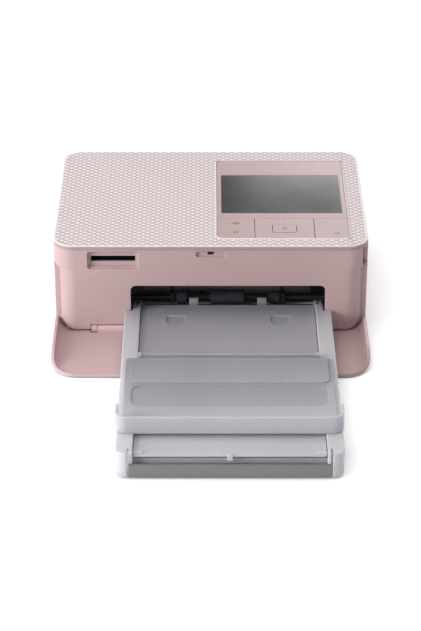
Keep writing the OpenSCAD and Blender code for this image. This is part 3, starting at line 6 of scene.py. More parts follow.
import bmesh
import bpy
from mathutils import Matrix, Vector


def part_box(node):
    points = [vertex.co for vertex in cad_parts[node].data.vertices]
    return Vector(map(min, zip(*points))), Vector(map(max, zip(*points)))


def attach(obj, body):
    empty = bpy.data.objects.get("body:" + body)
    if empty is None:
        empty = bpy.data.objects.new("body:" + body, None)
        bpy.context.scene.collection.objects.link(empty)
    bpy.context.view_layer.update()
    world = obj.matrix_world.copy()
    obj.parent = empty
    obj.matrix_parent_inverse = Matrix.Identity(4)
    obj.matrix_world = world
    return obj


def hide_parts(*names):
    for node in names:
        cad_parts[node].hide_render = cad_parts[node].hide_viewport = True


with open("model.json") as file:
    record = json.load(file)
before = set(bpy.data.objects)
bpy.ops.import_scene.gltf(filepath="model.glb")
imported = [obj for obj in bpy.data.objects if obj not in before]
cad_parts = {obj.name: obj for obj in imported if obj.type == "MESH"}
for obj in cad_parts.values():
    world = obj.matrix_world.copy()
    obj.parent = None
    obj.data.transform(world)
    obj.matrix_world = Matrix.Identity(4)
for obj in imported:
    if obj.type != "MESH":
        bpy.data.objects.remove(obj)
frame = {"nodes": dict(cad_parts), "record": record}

nodes = frame["nodes"]
scene = bpy.context.scene
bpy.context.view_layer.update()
slotOf = {part["node"]: part["material_slot"] for part in frame["record"]["subparts"]}
mm = 0.001
print("frame loaded:", len(nodes), "nodes")


# Camera

camera = {
    "place": (-0.00017, -1.0903, 0.6220),
    "tilt": 61.05,  # degrees from straight down
    "lens": 123.13,
    "sensor": 36,
}
cameraData = bpy.data.cameras.new("camera")
cameraData.lens = camera["lens"]
cameraData.sensor_width = camera["sensor"]
cameraObject = bpy.data.objects.new("camera", cameraData)
cameraObject.location = camera["place"]
cameraObject.rotation_euler = (radians(camera["tilt"]), 0, 0)
scene.collection.objects.link(cameraObject)
scene.camera = cameraObject
scene.view_settings.view_transform = "Standard"
print("camera placed")


# Shader nodes as Python expressions

class Wire:
    # A socket of a node. Sums and products of wires and numbers add their Math nodes.
    def __init__(self, finish, socket):
        self.finish = finish
        self.socket = socket

    def maths(self, operation, first, second):
        return self.finish.put("Math", {"operation": operation}, {0: first, 1: second})

    def __add__(self, other):
        return self.maths("ADD", self, other)

    def __sub__(self, other):
        return self.maths("SUBTRACT", self, other)

    def __mul__(self, other):
        return self.maths("MULTIPLY", self, other)

    def __pow__(self, other):
        return self.maths("POWER", self, other)

    def __rsub__(self, other):
        return self.maths("SUBTRACT", other, self)

    __radd__ = __add__
    __rmul__ = __mul__

    def below(self, limit):
        return self.maths("LESS_THAN", self, limit)

    def larger(self, other):
        return self.maths("MAXIMUM", self, other)

    def ramp(self, low, high):  # 0 at low, 1 at high, straight between them
        return self.finish.put("MapRange", {"clamp": True}, {0: self, 1: low, 2: high, 3: 0.0, 4: 1.0})


class Finish:
    # A node material, or the world's nodes
    def __init__(self, name, owner=None):
        self.owner = owner or bpy.data.materials.new(name)
        self.owner.use_nodes = True
        self.tree = self.owner.node_tree
        self.shader = self.tree.nodes.get("Principled BSDF")

    def put(self, kind, settings=None, values=None, outlet=0):
        # Adds a node: its settings first, then the values or links of its sockets
        node = self.tree.nodes.new("ShaderNode" + kind)
        for name, value in (settings or {}).items():
            if name == "stops":
                while len(node.color_ramp.elements) < len(value):
                    node.color_ramp.elements.new(1)
                for element, (place, colour) in zip(node.color_ramp.elements, value):
                    element.position = place
                    element.color = colour
            else:
                setattr(node, name, value)
        for name, value in (values or {}).items():
            self.join(value, node.inputs[name])
        return Wire(self, node.outputs[outlet])

    def join(self, value, socket):
        if isinstance(value, Wire):
            self.tree.links.new(value.socket, socket)
        elif socket.type == "RGBA" and len(value) == 3:
            socket.default_value = (*value, 1)
        else:
            socket.default_value = value

    def give(self, **values):  # the shader's own sockets, such as Base_Color
        for name, value in values.items():
            self.join(value, self.shader.inputs[name.replace("_", " ")])

    def mix(self, factor, first, second):
        return self.put("Mix", {"data_type": "RGBA"}, {0: factor, 6: first, 7: second}, outlet=2)

    def spot(self, scale=(1, 1, 1)):  # object coordinates, stretched
        place = self.put("TexCoord", outlet="Object")
        if scale == (1, 1, 1):
            return place
        return self.put("Mapping", {}, {0: place, 3: scale})

    def noise(self, size, detail=2, rough=0.5, place=None):  # size of its spots in metres
        return self.put("TexNoise", {}, {"Vector": place or self.spot(), "Scale": 1 / size, "Detail": detail,
                                         "Roughness": rough})

    def axes(self):  # x, y and z in metres
        place = self.spot()
        split = self.tree.nodes.new("ShaderNodeSeparateXYZ")
        self.join(place, split.inputs[0])
        return [Wire(self, outlet) for outlet in split.outputs]

    def edges(self, radius):  # a rounded normal, and how much it turns from the flat one
        rounded = self.put("Bevel", {"samples": 6}, {0: radius})
        flat = self.put("NewGeometry", outlet="True Normal")
        near = self.put("VectorMath", {"operation": "DOT_PRODUCT"}, {0: rounded, 1: flat}, outlet="Value")
        return rounded, (1 - near).ramp(0.01, 0.3)

    def bump(self, height, depth, strength=1.0, normal=None):
        values = {"Height": height, "Distance": depth, "Strength": strength}
        if normal:
            values["Normal"] = normal
        return self.put("Bump", {}, values)


def tint(colour, gain):
    return tuple(min(1, part * gain) for part in colour)


plastic = {
    "edge": 0.3 * mm,  # radius of the rounded edges
    "drift": 40 * mm,  # size of the areas whose colour differs a little
    "darker": 0.965,
    "lighter": 1.035,
    "grain": 0.35 * mm,
    "flecks": 0.35,  # how far the darker flecks of the grain show
    "fleckTone": 0.94,
    "wearAndSheen": 0.3,  # how far the paler edges show, partly wear and partly painted highlight
    "wearAndSheenTone": 1.16,
    "smearSize": 12 * mm,
    "smear": 0.12,  # how far smears change the roughness
    "shine": 0.08,  # how much smoother the edges are
    "gloss": 0.4,
    "depth": 0.03 * mm,
    "strength": 0.5,
}


def mouldedPlastic(name, own):
    # Fine spark-eroded grain, a slow drift of colour, and edges polished by handling, paler partly from wear
    # and partly from a painted highlight
    look = {**plastic, **own}
    finish = Finish(name)
    rounded, edge = finish.edges(look["edge"])
    drift = finish.noise(look["drift"], 3)
    grain = finish.noise(look["grain"], 2, 0.6)
    smear = finish.noise(look["smearSize"], 5, 0.65)
    colour = finish.mix(drift, tint(look["colour"], look["darker"]), tint(look["colour"], look["lighter"]))
    flecks = grain.ramp(0.3, 0.7) * look["flecks"]
    colour = finish.mix(flecks, colour, tint(look["colour"], look["fleckTone"]))
    # paler edges: partly wear, partly painted highlight
    colour = finish.mix(edge * look["wearAndSheen"], colour, tint(look["colour"], look["wearAndSheenTone"]))
    rough = look["rough"] + (smear - 0.5) * look["smear"] - edge * look["shine"]
    finish.give(Base_Color=colour, Roughness=rough, Specular_IOR_Level=look["gloss"],
                Normal=finish.bump(grain, look["depth"], look["strength"], rounded))
    return finish


metal = {
    "edge": 0.15 * mm,
    "streaks": 0.5 * mm,
    "patches": 9 * mm,
    "dull": 0.8,
    "edgeHighlightGain": 1.2,
    "metal": 1.0,
    "depth": 0.02 * mm,
}


def turnedMetal(name, own):
    # Rolled or turned metal: fine lines along one way, dull patches, and a painted highlight that brightens
    # the edges
    look = {**metal, **own}
    finish = Finish(name)
    rounded, edge = finish.edges(look["edge"])
    lines = finish.noise(look["streaks"], 3, 0.7, finish.spot(scale=look["lines"]))
    patch = finish.noise(look["patches"], 4, 0.6)
    colour = finish.mix(patch.ramp(0.3, 0.75), look["colour"], tint(look["colour"], look["dull"]))
    # painted highlight: the edges brighter
    colour = finish.mix(edge, colour, tint(look["colour"], look["edgeHighlightGain"]))
    finish.give(Base_Color=colour, Metallic=look["metal"],
                Roughness=look["rough"] + (lines - 0.5) * 0.2 + (patch - 0.5) * 0.15,
                Normal=finish.bump(lines, look["depth"], 0.4, rounded))
    return finish


# Finishes, one for each material slot of the record

finishes = {}

pinkTones = {
    "textured_shell": {"colour": (0.70, 0.585, 0.59), "rough": 0.5, "grain": 0.3 * mm, "wearAndSheen": 0.25,
                       "strength": 0.35},
    "pink_shell": {"colour": (0.64, 0.455, 0.45), "rough": 0.48, "edge": 0.5 * mm, "wearAndSheen": 0.3},
    "pink_fascia": {"colour": (0.59, 0.425, 0.425), "rough": 0.46, "edge": 0.5 * mm, "wearAndSheen": 0.4},
    "pink_door": {"colour": (0.62, 0.44, 0.445), "rough": 0.45, "edge": 0.5 * mm, "wearAndSheen": 0.4},
    "pink_panel": {"colour": (0.50, 0.35, 0.355), "rough": 0.32, "edge": 0.2 * mm, "wearAndSheen": 0.5,
                   "strength": 0.2},
    "pink_keys": {"colour": (0.51, 0.37, 0.37), "rough": 0.34, "edge": 0.2 * mm, "wearAndSheen": 0.5,
                  "strength": 0.2},
}
darkTones = {
    "black_plastic": {"colour": (0.018, 0.018, 0.020), "rough": 0.42, "wearAndSheen": 0.5},
    "ink_plastic": {"colour": (0.055, 0.057, 0.062), "rough": 0.45, "wearAndSheen": 0.4},
    "spool_plastic": {"colour": (0.72, 0.72, 0.70), "rough": 0.4, "wearAndSheen": 0.2},
    "gear_plastic": {"colour": (0.80, 0.79, 0.74), "rough": 0.38, "wearAndSheen": 0.2},
    "lever_plastic": {"colour": (0.20, 0.21, 0.23), "rough": 0.4, "wearAndSheen": 0.3},
    "grey_plastic": {"colour": (0.245, 0.235, 0.25), "rough": 0.5, "wearAndSheen": 0.35, "edge": 0.4 * mm},
}
for name, look in {**pinkTones, **darkTones}.items():
    finishes[name] = mouldedPlastic(name, look)


def paintLatticeLight(finish, look):
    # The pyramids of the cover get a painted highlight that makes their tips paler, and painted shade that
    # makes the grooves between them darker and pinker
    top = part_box("top_cover")[1].z
    # painted shade low in the grooves, painted highlight at the tips, by height
    height = finish.axes()[2].ramp(top - look["deep"], top - look["deep"] * 0.4)
    speck = finish.noise(look["speckSize"], 2)
    colour = finish.mix(height, look["grooveShade"], look["tip"])
    colour = finish.mix(speck.ramp(0.3, 0.8) * look["specks"], colour, tint(look["grooveShade"], 1.25))
    finish.give(Base_Color=colour)


# colours of the painted shade in the grooves and the painted highlight at the tips
paintLatticeLight(finishes["textured_shell"], {"deep": 0.65 * mm, "grooveShade": (0.47, 0.33, 0.33),
                                         "tip": (0.90, 0.83, 0.84), "speckSize": 0.8 * mm, "specks": 0.2})

metals = {
    "screw_steel": {"colour": (0.42, 0.42, 0.44), "rough": 0.35, "lines": (1, 1, 1)},
    "sheet_steel": {"colour": (0.50, 0.51, 0.52), "rough": 0.38, "lines": (1, 0.05, 1)},
    "shaft_steel": {"colour": (0.62, 0.62, 0.64), "rough": 0.22, "lines": (1, 0.2, 0.2)},
    "motor_steel": {"colour": (0.40, 0.41, 0.42), "rough": 0.3, "lines": (1, 0.1, 0.1)},
    "pinion_brass": {"colour": (0.72, 0.50, 0.22), "rough": 0.28, "lines": (0.2, 1, 1)},
    "sink_aluminium": {"colour": (0.66, 0.67, 0.68), "rough": 0.4, "lines": (0.05, 1, 1)},
}
for name, look in metals.items():
    finishes[name] = turnedMetal(name, look)


rubber = {"edge": 0.3 * mm, "dustSize": 3 * mm, "dustAndSheenTone": 2.2, "skinSize": 0.25 * mm, "depth": 0.05 * mm}


def dullRubber(name, colour, rough):
    # Dusty, with a painted highlight along the edges, and a fine skin
    finish = Finish(name)
    rounded, edge = finish.edges(rubber["edge"])
    dust = finish.noise(rubber["dustSize"], 5, 0.7)
    skin = finish.noise(rubber["skinSize"], 3, 0.6)
    # dust, and a painted highlight along the edges, share one paler tone
    dustAndSheen = finish.mix(dust.ramp(0.45, 0.8) * 0.5 + edge * 0.3, colour, tint(colour, rubber["dustAndSheenTone"]))
    finish.give(Base_Color=dustAndSheen, Roughness=rough + (dust - 0.5) * 0.2, Specular_IOR_Level=0.25,
                Normal=finish.bump(skin, rubber["depth"], 0.6, rounded))
    return finish


finishes["foot_rubber"] = dullRubber("foot_rubber", (0.022, 0.022, 0.024), 0.75)
finishes["roller_rubber"] = dullRubber("roller_rubber", (0.030, 0.032, 0.045), 0.7)


glass = {
    "border": (0.005, 0.005, 0.006),
    "field": (0.012, 0.011, 0.014),
    "side": 1.6 * mm,  # width of the border, which is wider at the back
    "edge": 0.2 * mm,
    "edgeHighlightTone": (0.16, 0.15, 0.16),
    "filmSize": 25 * mm,
    "rough": 0.13,
}


def screenGlass():
    # Dark glass over the display, whose field is a shade lighter than its border, with a painted highlight
    # along its edges
    look, side = glass, glass["side"]
    finish = Finish("screen_glass")
    low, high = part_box("screen_window")
    x, y = finish.axes()[:2]
    inside = (x.ramp(low.x + side, low.x + side * 1.1) * (1 - x.ramp(high.x - side * 1.1, high.x - side))
              * y.ramp(low.y + side, low.y + side * 1.1)
              * (1 - y.ramp(high.y - side * 2.6, high.y - side * 2.5)))
    film = finish.noise(look["filmSize"], 4, 0.6)
    rounded, edge = finish.edges(look["edge"])
    colour = finish.mix(inside, look["border"], look["field"])
    # painted highlight along the edges
    colour = finish.mix(edge * 0.6, colour, look["edgeHighlightTone"])
    finish.give(Base_Color=colour, Roughness=look["rough"] + film.ramp(0.4, 0.8) * 0.05,
                Specular_IOR_Level=0.6, Coat_Weight=0.35, Coat_Roughness=0.12, Coat_IOR=1.5,
                Normal=finish.bump(film, 0.02 * mm, 0.08, rounded))
    return finish


board = {
    "mask": (0.010, 0.075, 0.030),
    "track": (0.022, 0.14, 0.055),
    "pad": (0.55, 0.55, 0.52),
    "tracks": 140.0,  # how close tracks and pads lie
    "pads": 320.0,
    "weaveSize": 0.6 * mm,
    "depth": 0.03 * mm,
}


def circuitBoard():
    # Green solder mask with tracks and tinned pads
    finish = Finish("circuit_board")
    tracks = finish.put("TexBrick", {"offset": 0.5, "squash": 1.0},
                        {"Vector": finish.spot(), "Scale": board["tracks"], "Mortar Size": 0.02,
                         "Color1": (1, 1, 1, 1), "Color2": (1, 1, 1, 1), "Mortar": (0, 0, 0, 1)},
                        outlet="Fac")
    pads = finish.put("TexVoronoi", {"feature": "F1"}, {"Vector": finish.spot(), "Scale": board["pads"]},
                      outlet="Distance").below(0.16)
    weave = finish.noise(board["weaveSize"], 2)
    colour = finish.mix(pads, finish.mix(tracks, board["mask"], board["track"]), board["pad"])
    finish.give(Base_Color=colour, Roughness=0.35 + weave * 0.15, Metallic=pads * 0.9,
                Normal=finish.bump(tracks + weave * 0.3, board["depth"], 0.6))
    return finish


ceramic = {"dark": (0.46, 0.44, 0.40), "light": (0.56, 0.54, 0.50), "edgeHighlightTone": (0.75, 0.72, 0.66),
           "edge": 0.2 * mm, "speckSize": 0.8 * mm, "depth": 0.02 * mm}


def headCeramic():
    # Glazed ceramic, faintly speckled, with a painted highlight that makes its edges paler
    finish = Finish("head_ceramic")
    rounded, edge = finish.edges(ceramic["edge"])
    speck = finish.noise(ceramic["speckSize"], 4, 0.7)
    colour = finish.mix(speck.ramp(0.35, 0.7), ceramic["dark"], ceramic["light"])
    # painted highlight along the edges
    colour = finish.mix(edge * 0.5, colour, ceramic["edgeHighlightTone"])
    finish.give(Base_Color=colour, Roughness=0.25 + speck * 0.15,
                Normal=finish.bump(speck, ceramic["depth"], 0.4, rounded))
    return finish


film = {
    "panels": [(0, (0.62, 0.50, 0.06, 1)), (0.34, (0.50, 0.04, 0.18, 1)), (0.67, (0.04, 0.26, 0.42, 1)),
               (0.92, (0.30, 0.30, 0.32, 1))],
    "from": 0.055,  # the y between which the panels lie
    "to": 0.105,
    "creaseSize": 6 * mm,
    "depth": 0.15 * mm,
}


def ribbonFilm():
    # Dye film: yellow, magenta, cyan and clear panels follow one another along the ribbon
    finish = Finish("ribbon_film")
    along = finish.axes()[1].ramp(film["from"], film["to"])
    band = finish.put("ValToRGB", {"stops": film["panels"]}, {0: along})
    crease = finish.noise(film["creaseSize"], 4, 0.6, finish.spot(scale=(0.3, 1, 1)))
    finish.give(Base_Color=band, Roughness=0.18 + crease * 0.15, Specular_IOR_Level=0.6,
                Normal=finish.bump(crease, film["depth"], 0.4))
    return finish


def windowShadeMask(finish, window):
    # 1 inside the sunk field of the outer lid, whose two near corners are round; it lays painted shade over
    # that field
    x, y = finish.axes()[:2]
    lowX, lowY = window["low"]
    highX, highY = window["high"]
    corner = window["corner"]
    middle, half = (lowX + highX) / 2, (highX - lowX) / 2 - corner
    across = (x - (middle + half)).larger((middle - half) - x).larger(0.0)
    down = ((lowY + corner) - y).larger(0.0)
    reach = (across * across + down * down) ** 0.5
    return (1 - reach.ramp(corner - window["soft"], corner)) * y.below(highY)


milk = {
    "paintedEdgeGlow": (0.82, 0.84, 0.92),  # colour of the painted highlight along the edges
    "rim": 0.7,
    "cloudSize": 45 * mm,
    "clouds": 0.10,
    "frostSize": 0.3 * mm,
    "scuffSize": 14 * mm,
    "cover": 0.80,
    "rough": 0.24,
    "milk": 0.6,
    "depth": 4 * mm,  # how far light spreads inside
}
frosted = {
    # near and far are the colours at the y of from and to; the darkening towards far, at the opening, is
    # painted shade
    "frosted_plastic": {"near": (0.75, 0.75, 0.80), "far": (0.53, 0.52, 0.565), "from": -0.07, "to": 0.01,
                        "edge": 0.9 * mm, "rim": 0.85, "paintedEdgeGlow": (0.90, 0.91, 0.97)},
    # the two lids get darker copies of this plastic, whose extra darkness is painted shade
    "frosted_lid": {"near": (0.68, 0.68, 0.72), "far": (0.42, 0.405, 0.45), "from": -0.13, "to": -0.03,
                    "edge": 0.4 * mm, "rim": 0.45},
    "frosted_fold": {"near": (0.63, 0.625, 0.665), "far": (0.38, 0.375, 0.41), "from": -0.11, "to": -0.05,
                     "edge": 0.12 * mm, "rim": 0.3,
                     # painted shade, bluish, over the sunk field of the outer lid
                     "window": {"low": (-43.5 * mm, -97.7 * mm), "high": (63.5 * mm, -73.8 * mm),
                                "corner": 6 * mm, "soft": 0.4 * mm, "shade": 0.16,
                                "colour": (0.18, 0.18, 0.27)}},
}


def frostedPlastic(name, own):
    # Milky translucent plastic, a little cloudy, with painted shade that darkens it towards the opening and a
    # painted highlight along its edges
    look = {**milk, **own}
    finish = Finish(name)
    rounded, edge = finish.edges(look["edge"])
    y = finish.axes()[1]
    cloud = finish.noise(look["cloudSize"], 1, 0.4, finish.spot(scale=(1, 0.6, 1)))
    frost = finish.noise(look["frostSize"], 2, 0.6)
    scuff = finish.noise(look["scuffSize"], 2, 0.5)
    # painted shade: darker towards the opening
    colour = finish.mix(y.ramp(look["from"], look["to"]), look["near"], look["far"])
    colour = finish.mix(cloud.ramp(0.35, 0.7) * look["clouds"], colour, tint(look["near"], 1.12))
    # painted shade over the sunk field
    if "window" in look:
        window = look["window"]
        colour = finish.mix(windowShadeMask(finish, window) * window["shade"], colour, window["colour"])
    # painted highlight along the edges, where light would shine through them
    colour = finish.mix(edge * look["rim"], colour, look["paintedEdgeGlow"])
    alpha = look["cover"] + edge * 0.12 + (cloud - 0.5) * 0.08
    finish.give(Base_Color=colour, Roughness=look["rough"] + (scuff - 0.5) * 0.06, Alpha=alpha,
                Specular_IOR_Level=0.5, Subsurface_Weight=look["milk"], Subsurface_Scale=look["depth"],
                Subsurface_Radius=(1.0, 1.0, 1.2), Normal=finish.bump(frost, 0.02 * mm, 0.2, rounded))
    return finish


for name, look in frosted.items():
    finishes[name] = frostedPlastic(name, look)
finishes["screen_glass"] = screenGlass()
finishes["circuit_board"] = circuitBoard()
finishes["head_ceramic"] = headCeramic()
finishes["ribbon_film"] = ribbonFilm()
finishes["grey_print"] = mouldedPlastic("grey_print", {"colour": (0.22, 0.13, 0.13), "rough": 0.55})
finishes["dark_shaft"] = turnedMetal("dark_shaft", {"colour": (0.035, 0.035, 0.04), "rough": 0.4,
                                                    "lines": (1, 0.2, 0.2), "metal": 0.5})
# pieces whose finish isn't that of their slot; the card socket is made black, which paints the shade inside
# the card slot
ownFinish = {"inner_lid": "frosted_lid", "outer_lid": "frosted_fold", "card_socket": "black_plastic",
             "pick_shaft": "dark_shaft"}
for name, node in nodes.items():
    node.data.materials.clear()
    node.data.materials.append(finishes[ownFinish.get(name, slotOf[name])].owner)
print("finishes made:", len(finishes))


# Modelling helpers

def choose(*pieces):  # selects them, and makes the last one active
    bpy.ops.object.select_all(action="DESELECT")
    for piece in pieces:
        piece.select_set(True)
    bpy.context.view_layer.objects.active = pieces[-1]


def startEdit(piece, mode="FACE"):
    choose(piece)
    bpy.ops.object.mode_set(mode="EDIT")
    bpy.ops.mesh.select_mode(type=mode)
    bpy.ops.mesh.select_all(action="DESELECT")


def endEdit():
    bpy.ops.object.mode_set(mode="OBJECT")


def pick(piece, wanted, kind="faces"):  # selects the faces, edges or vertices that wanted() likes
    mesh = bmesh.from_edit_mesh(piece.data)
    for item in getattr(mesh, kind):
        item.select_set(bool(wanted(item)))
    mesh.select_flush_mode()
    bmesh.update_edit_mesh(piece.data)


def roundEdges(piece, wanted, radius, segments):
    startEdit(piece, "EDGE")
    pick(piece, wanted, "edges")
    bpy.ops.mesh.bevel(offset=radius, segments=segments)
    endEdit()


def edgeSpan(edge):
    return edge.verts[0].co - edge.verts[1].co


def newPiece(name, scale=None):
    # Names the primitive that was just added, and puts its place and size into its mesh
    piece = bpy.context.active_object
    piece.name = name
    if scale:
        piece.scale = scale
    bpy.ops.object.transform_apply(location=True, rotation=True, scale=True)
    return piece


def addBlock(name, middle, size, turn=0):
    bpy.ops.object.select_all(action="DESELECT")
    bpy.ops.mesh.primitive_cube_add(size=1, location=middle, rotation=(0, 0, turn), scale=size)
    return newPiece(name)


def addBox(name, low, high):  # a block between two corners
    return addBlock(name, [(a + b) / 2 for a, b in zip(low, high)], [b - a for a, b in zip(low, high)])


def addRod(name, middle, half, radius, rounding):
    # A rod along X with rounded rims
    bpy.ops.object.select_all(action="DESELECT")
    bpy.ops.mesh.primitive_cylinder_add(vertices=32, radius=radius, depth=half * 2, location=middle,
                                        rotation=(0, radians(90), 0))
    piece = newPiece(name)
    roundEdges(piece, lambda edge: abs(edgeSpan(edge).x) < half * 0.1, rounding, 2)
    return piece


def joinAs(name, parts):
    choose(*parts[1:], parts[0])
    if len(parts) > 1:
        bpy.ops.object.join()
    parts[0].name = name
    parts[0].data.name = name
    return parts[0]


def applyAll(piece):
    choose(piece)
    for modifier in list(piece.modifiers):
        bpy.ops.object.modifier_apply(modifier=modifier.name)


def settle(piece, finishName, body, angle=30):
    # Puts the place into the mesh, shades it, and hands it to a body
    choose(piece)
    bpy.ops.object.transform_apply(location=True, rotation=True, scale=True)
    bpy.ops.object.shade_smooth_by_angle(angle=radians(angle))
    piece.data.materials.clear()
    piece.data.materials.append(finishes[finishName].owner)
    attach(piece, body)


# Sizes that several pieces share

coverLow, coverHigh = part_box("top_cover")
keyLow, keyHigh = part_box("menu_key")
powerLow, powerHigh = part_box("power_key")
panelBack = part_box("control_panel")[1].y
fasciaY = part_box("front_fascia")[0].y


# Top cover with its lattice of flat pyramids

lattice = {
    "stepX": 5.2 * mm,
    "stepY": 4.1 * mm,
    "rise": 0.65 * mm,
    "flat": 0.30,  # share of a pyramid's half width that its flat tip takes
    "rim": 0.15 * mm,  # plain edge outside the pyramids
    "slope": 1.2 * mm,  # width of the slope from the edge down to their feet
    "seam": 0.2 * mm,  # round the control panel
    "edgeRound": 0.8 * mm,  # of the solid cover's rim
    "cornerRound": 12 * mm,  # of its corners
    "cornerCuts": 6,  # steps in which a field is cut to a round corner
}


def sunkCover():
    # The cover with its top lowered to the feet of the pyramids
    cover = bpy.data.objects.new("latticeCover", nodes["top_cover"].data.copy())
    scene.collection.objects.link(cover)
    startEdit(cover, "VERT")
    bpy.ops.mesh.select_all(action="SELECT")
    bpy.ops.mesh.remove_doubles(threshold=0.002 * mm)
    bpy.ops.mesh.dissolve_limited(angle_limit=radians(0.5))
    bpy.ops.mesh.select_mode(type="FACE")
    top = coverHigh.z - 0.02 * mm
    pick(cover, lambda face: face.normal.z > 0.99 and face.calc_center_median().z > top)
    bpy.ops.mesh.inset(thickness=lattice["slope"], depth=-lattice["rise"])
    endEdit()
    return cover


def latticePatch(name, low, high, corners):
    # One convex field of the lattice, cut to its sides and to the cover's round corners
    stepX, stepY, rise = lattice["stepX"], lattice["stepY"], lattice["rise"]
    countX = int((coverHigh.x - coverLow.x) / stepX) + 3
    countY = int((coverHigh.y - coverLow.y) / stepY) + 3
    bpy.ops.object.select_all(action="DESELECT")
    bpy.ops.mesh.primitive_cone_add(
        vertices=4, radius1=stepX / 2, radius2=stepX / 2 * lattice["flat"], depth=rise, end_fill_type="NGON",
        location=(coverLow.x - stepX, coverLow.y - stepY, coverHigh.z - rise / 2))
    field = newPiece(name, (1, stepY / stepX, 1))
    field.data.name = name
    startEdit(field)
    pick(field, lambda face: face.normal.z < -0.9)
    bpy.ops.mesh.delete(type="FACE")
    endEdit()
    # the rows between the rows first, then along X and Y
    for count, shift in ((2, (stepX / 2, stepY / 2, 0)), (countX, (stepX, 0, 0)), (countY, (0, stepY, 0))):
        array = field.modifiers.new("array", "ARRAY")
        array.use_relative_offset = False
        array.use_constant_offset = True
        array.count = count
        array.constant_offset_displace = shift
    applyAll(field)
    cuts = [((low.x, 0, 0), (-1, 0, 0)), ((high.x, 0, 0), (1, 0, 0)),
            ((0, low.y, 0), (0, -1, 0)), ((0, high.y, 0), (0, 1, 0))]
    radius = lattice["cornerRound"] - lattice["edgeRound"] - lattice["rim"]
    for signX, signY in corners:
        middleX = (high.x if signX > 0 else low.x) - signX * radius
        middleY = (high.y if signY > 0 else low.y) - signY * radius
        for step in range(1, lattice["cornerCuts"]):
            turn = pi / 2 * step / lattice["cornerCuts"]
            outX, outY = signX * cos(turn), signY * sin(turn)
            cuts.append(((middleX + outX * radius, middleY + outY * radius, 0), (outX, outY, 0)))
    startEdit(field, "VERT")
    for place, out in cuts:
        bpy.ops.mesh.select_all(action="SELECT")
        bpy.ops.mesh.bisect(plane_co=place, plane_no=out, clear_outer=True)
    bpy.ops.mesh.select_all(action="SELECT")
    bpy.ops.mesh.remove_doubles(threshold=0.01 * mm)
    endEdit()
    return field


def latticeCover():
    inset = lattice["edgeRound"] + lattice["rim"]
    low = Vector((coverLow.x + inset, coverLow.y + inset, 0))
    high = Vector((coverHigh.x - inset, coverHigh.y - inset, 0))
    seam = lattice["seam"] + lattice["rim"]
    left, right = keyLow.x - seam, powerHigh.x + seam
    front, back = keyLow.y - seam, panelBack + seam
    patches = [
        latticePatch("latticeLeft", low, Vector((left, high.y, 0)), [(-1, -1), (-1, 1)]),
        latticePatch("latticeRight", Vector((right, low.y, 0)), high, [(1, -1), (1, 1)]),
        latticePatch("latticeFront", Vector((left, low.y, 0)), Vector((right, front, 0)), []),
        latticePatch("latticeBack", Vector((left, back, 0)), Vector((right, high.y, 0)), []),
    ]
    cover = sunkCover()
    choose(*patches, cover)
    bpy.ops.object.join()
    settle(cover, "textured_shell", "housing", angle=12)
    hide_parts("top_cover")


latticeCover()
print("lattice cover modelled")


# Front door, a shallow tray that lies open in front of the printer.
# Places along Y are behind the fascia's face, so those in front of it are negative.

door = {
    "rim": 8.4 * mm,  # height of the side walls' tops
    "floor": 2.0 * mm,
    "wall": 1.8 * mm,
    "edge": 0.2 * mm,  # from the free edge of the solid to that of the tray
    "spare": 12 * mm,  # the tray starts longer by this, and is cut
    "corner": 13 * mm,
    "cornerSteps": 9,
    "curve": [(0.4, 0.333), (0.8, 0.227), (1.2, 0.194), (1.8, 0.163), (2.8, 0.083)],  # mm inwards, share down
    "rows": (-36, 0, 3),  # mm, where the walls are divided to fall: first, end, step
    "fall": (-50 * mm, -30 * mm),  # where they fall towards the free edge
    "low": 0.08,  # share of their height that is left at the free edge
    "soft": 0.45 * mm,
    "softSteps": 3,
    "softAngle": 50,  # only sharper edges become soft
    "ear": (66.0 * mm, 70.4 * mm),  # notches for the ends of the hinge
    "earFront": -2.2 * mm,
    "cut": (-1 * mm, 5 * mm),  # height of the notches
    "side": 85 * mm,  # outside this the tray reaches back to the side shell's strips
    "sideRear": 5.8 * mm,
    "hinge": (0.6 * mm, 3.1 * mm),  # y, height
    "knuckle": (66.2 * mm, 2.4 * mm, 0.3 * mm),  # half width, radius, rounding
    "pin": (69.6 * mm, 1.2 * mm, 0.2 * mm),
    "webLow": 0.25 * mm,
    "webRound": 0.5 * mm,
    "hook": ((-1.5 * mm, -49.9 * mm, 1.6 * mm), (1.5 * mm, -47.1 * mm, 4.0 * mm)),
    "hookRound": 0.9 * mm,
}


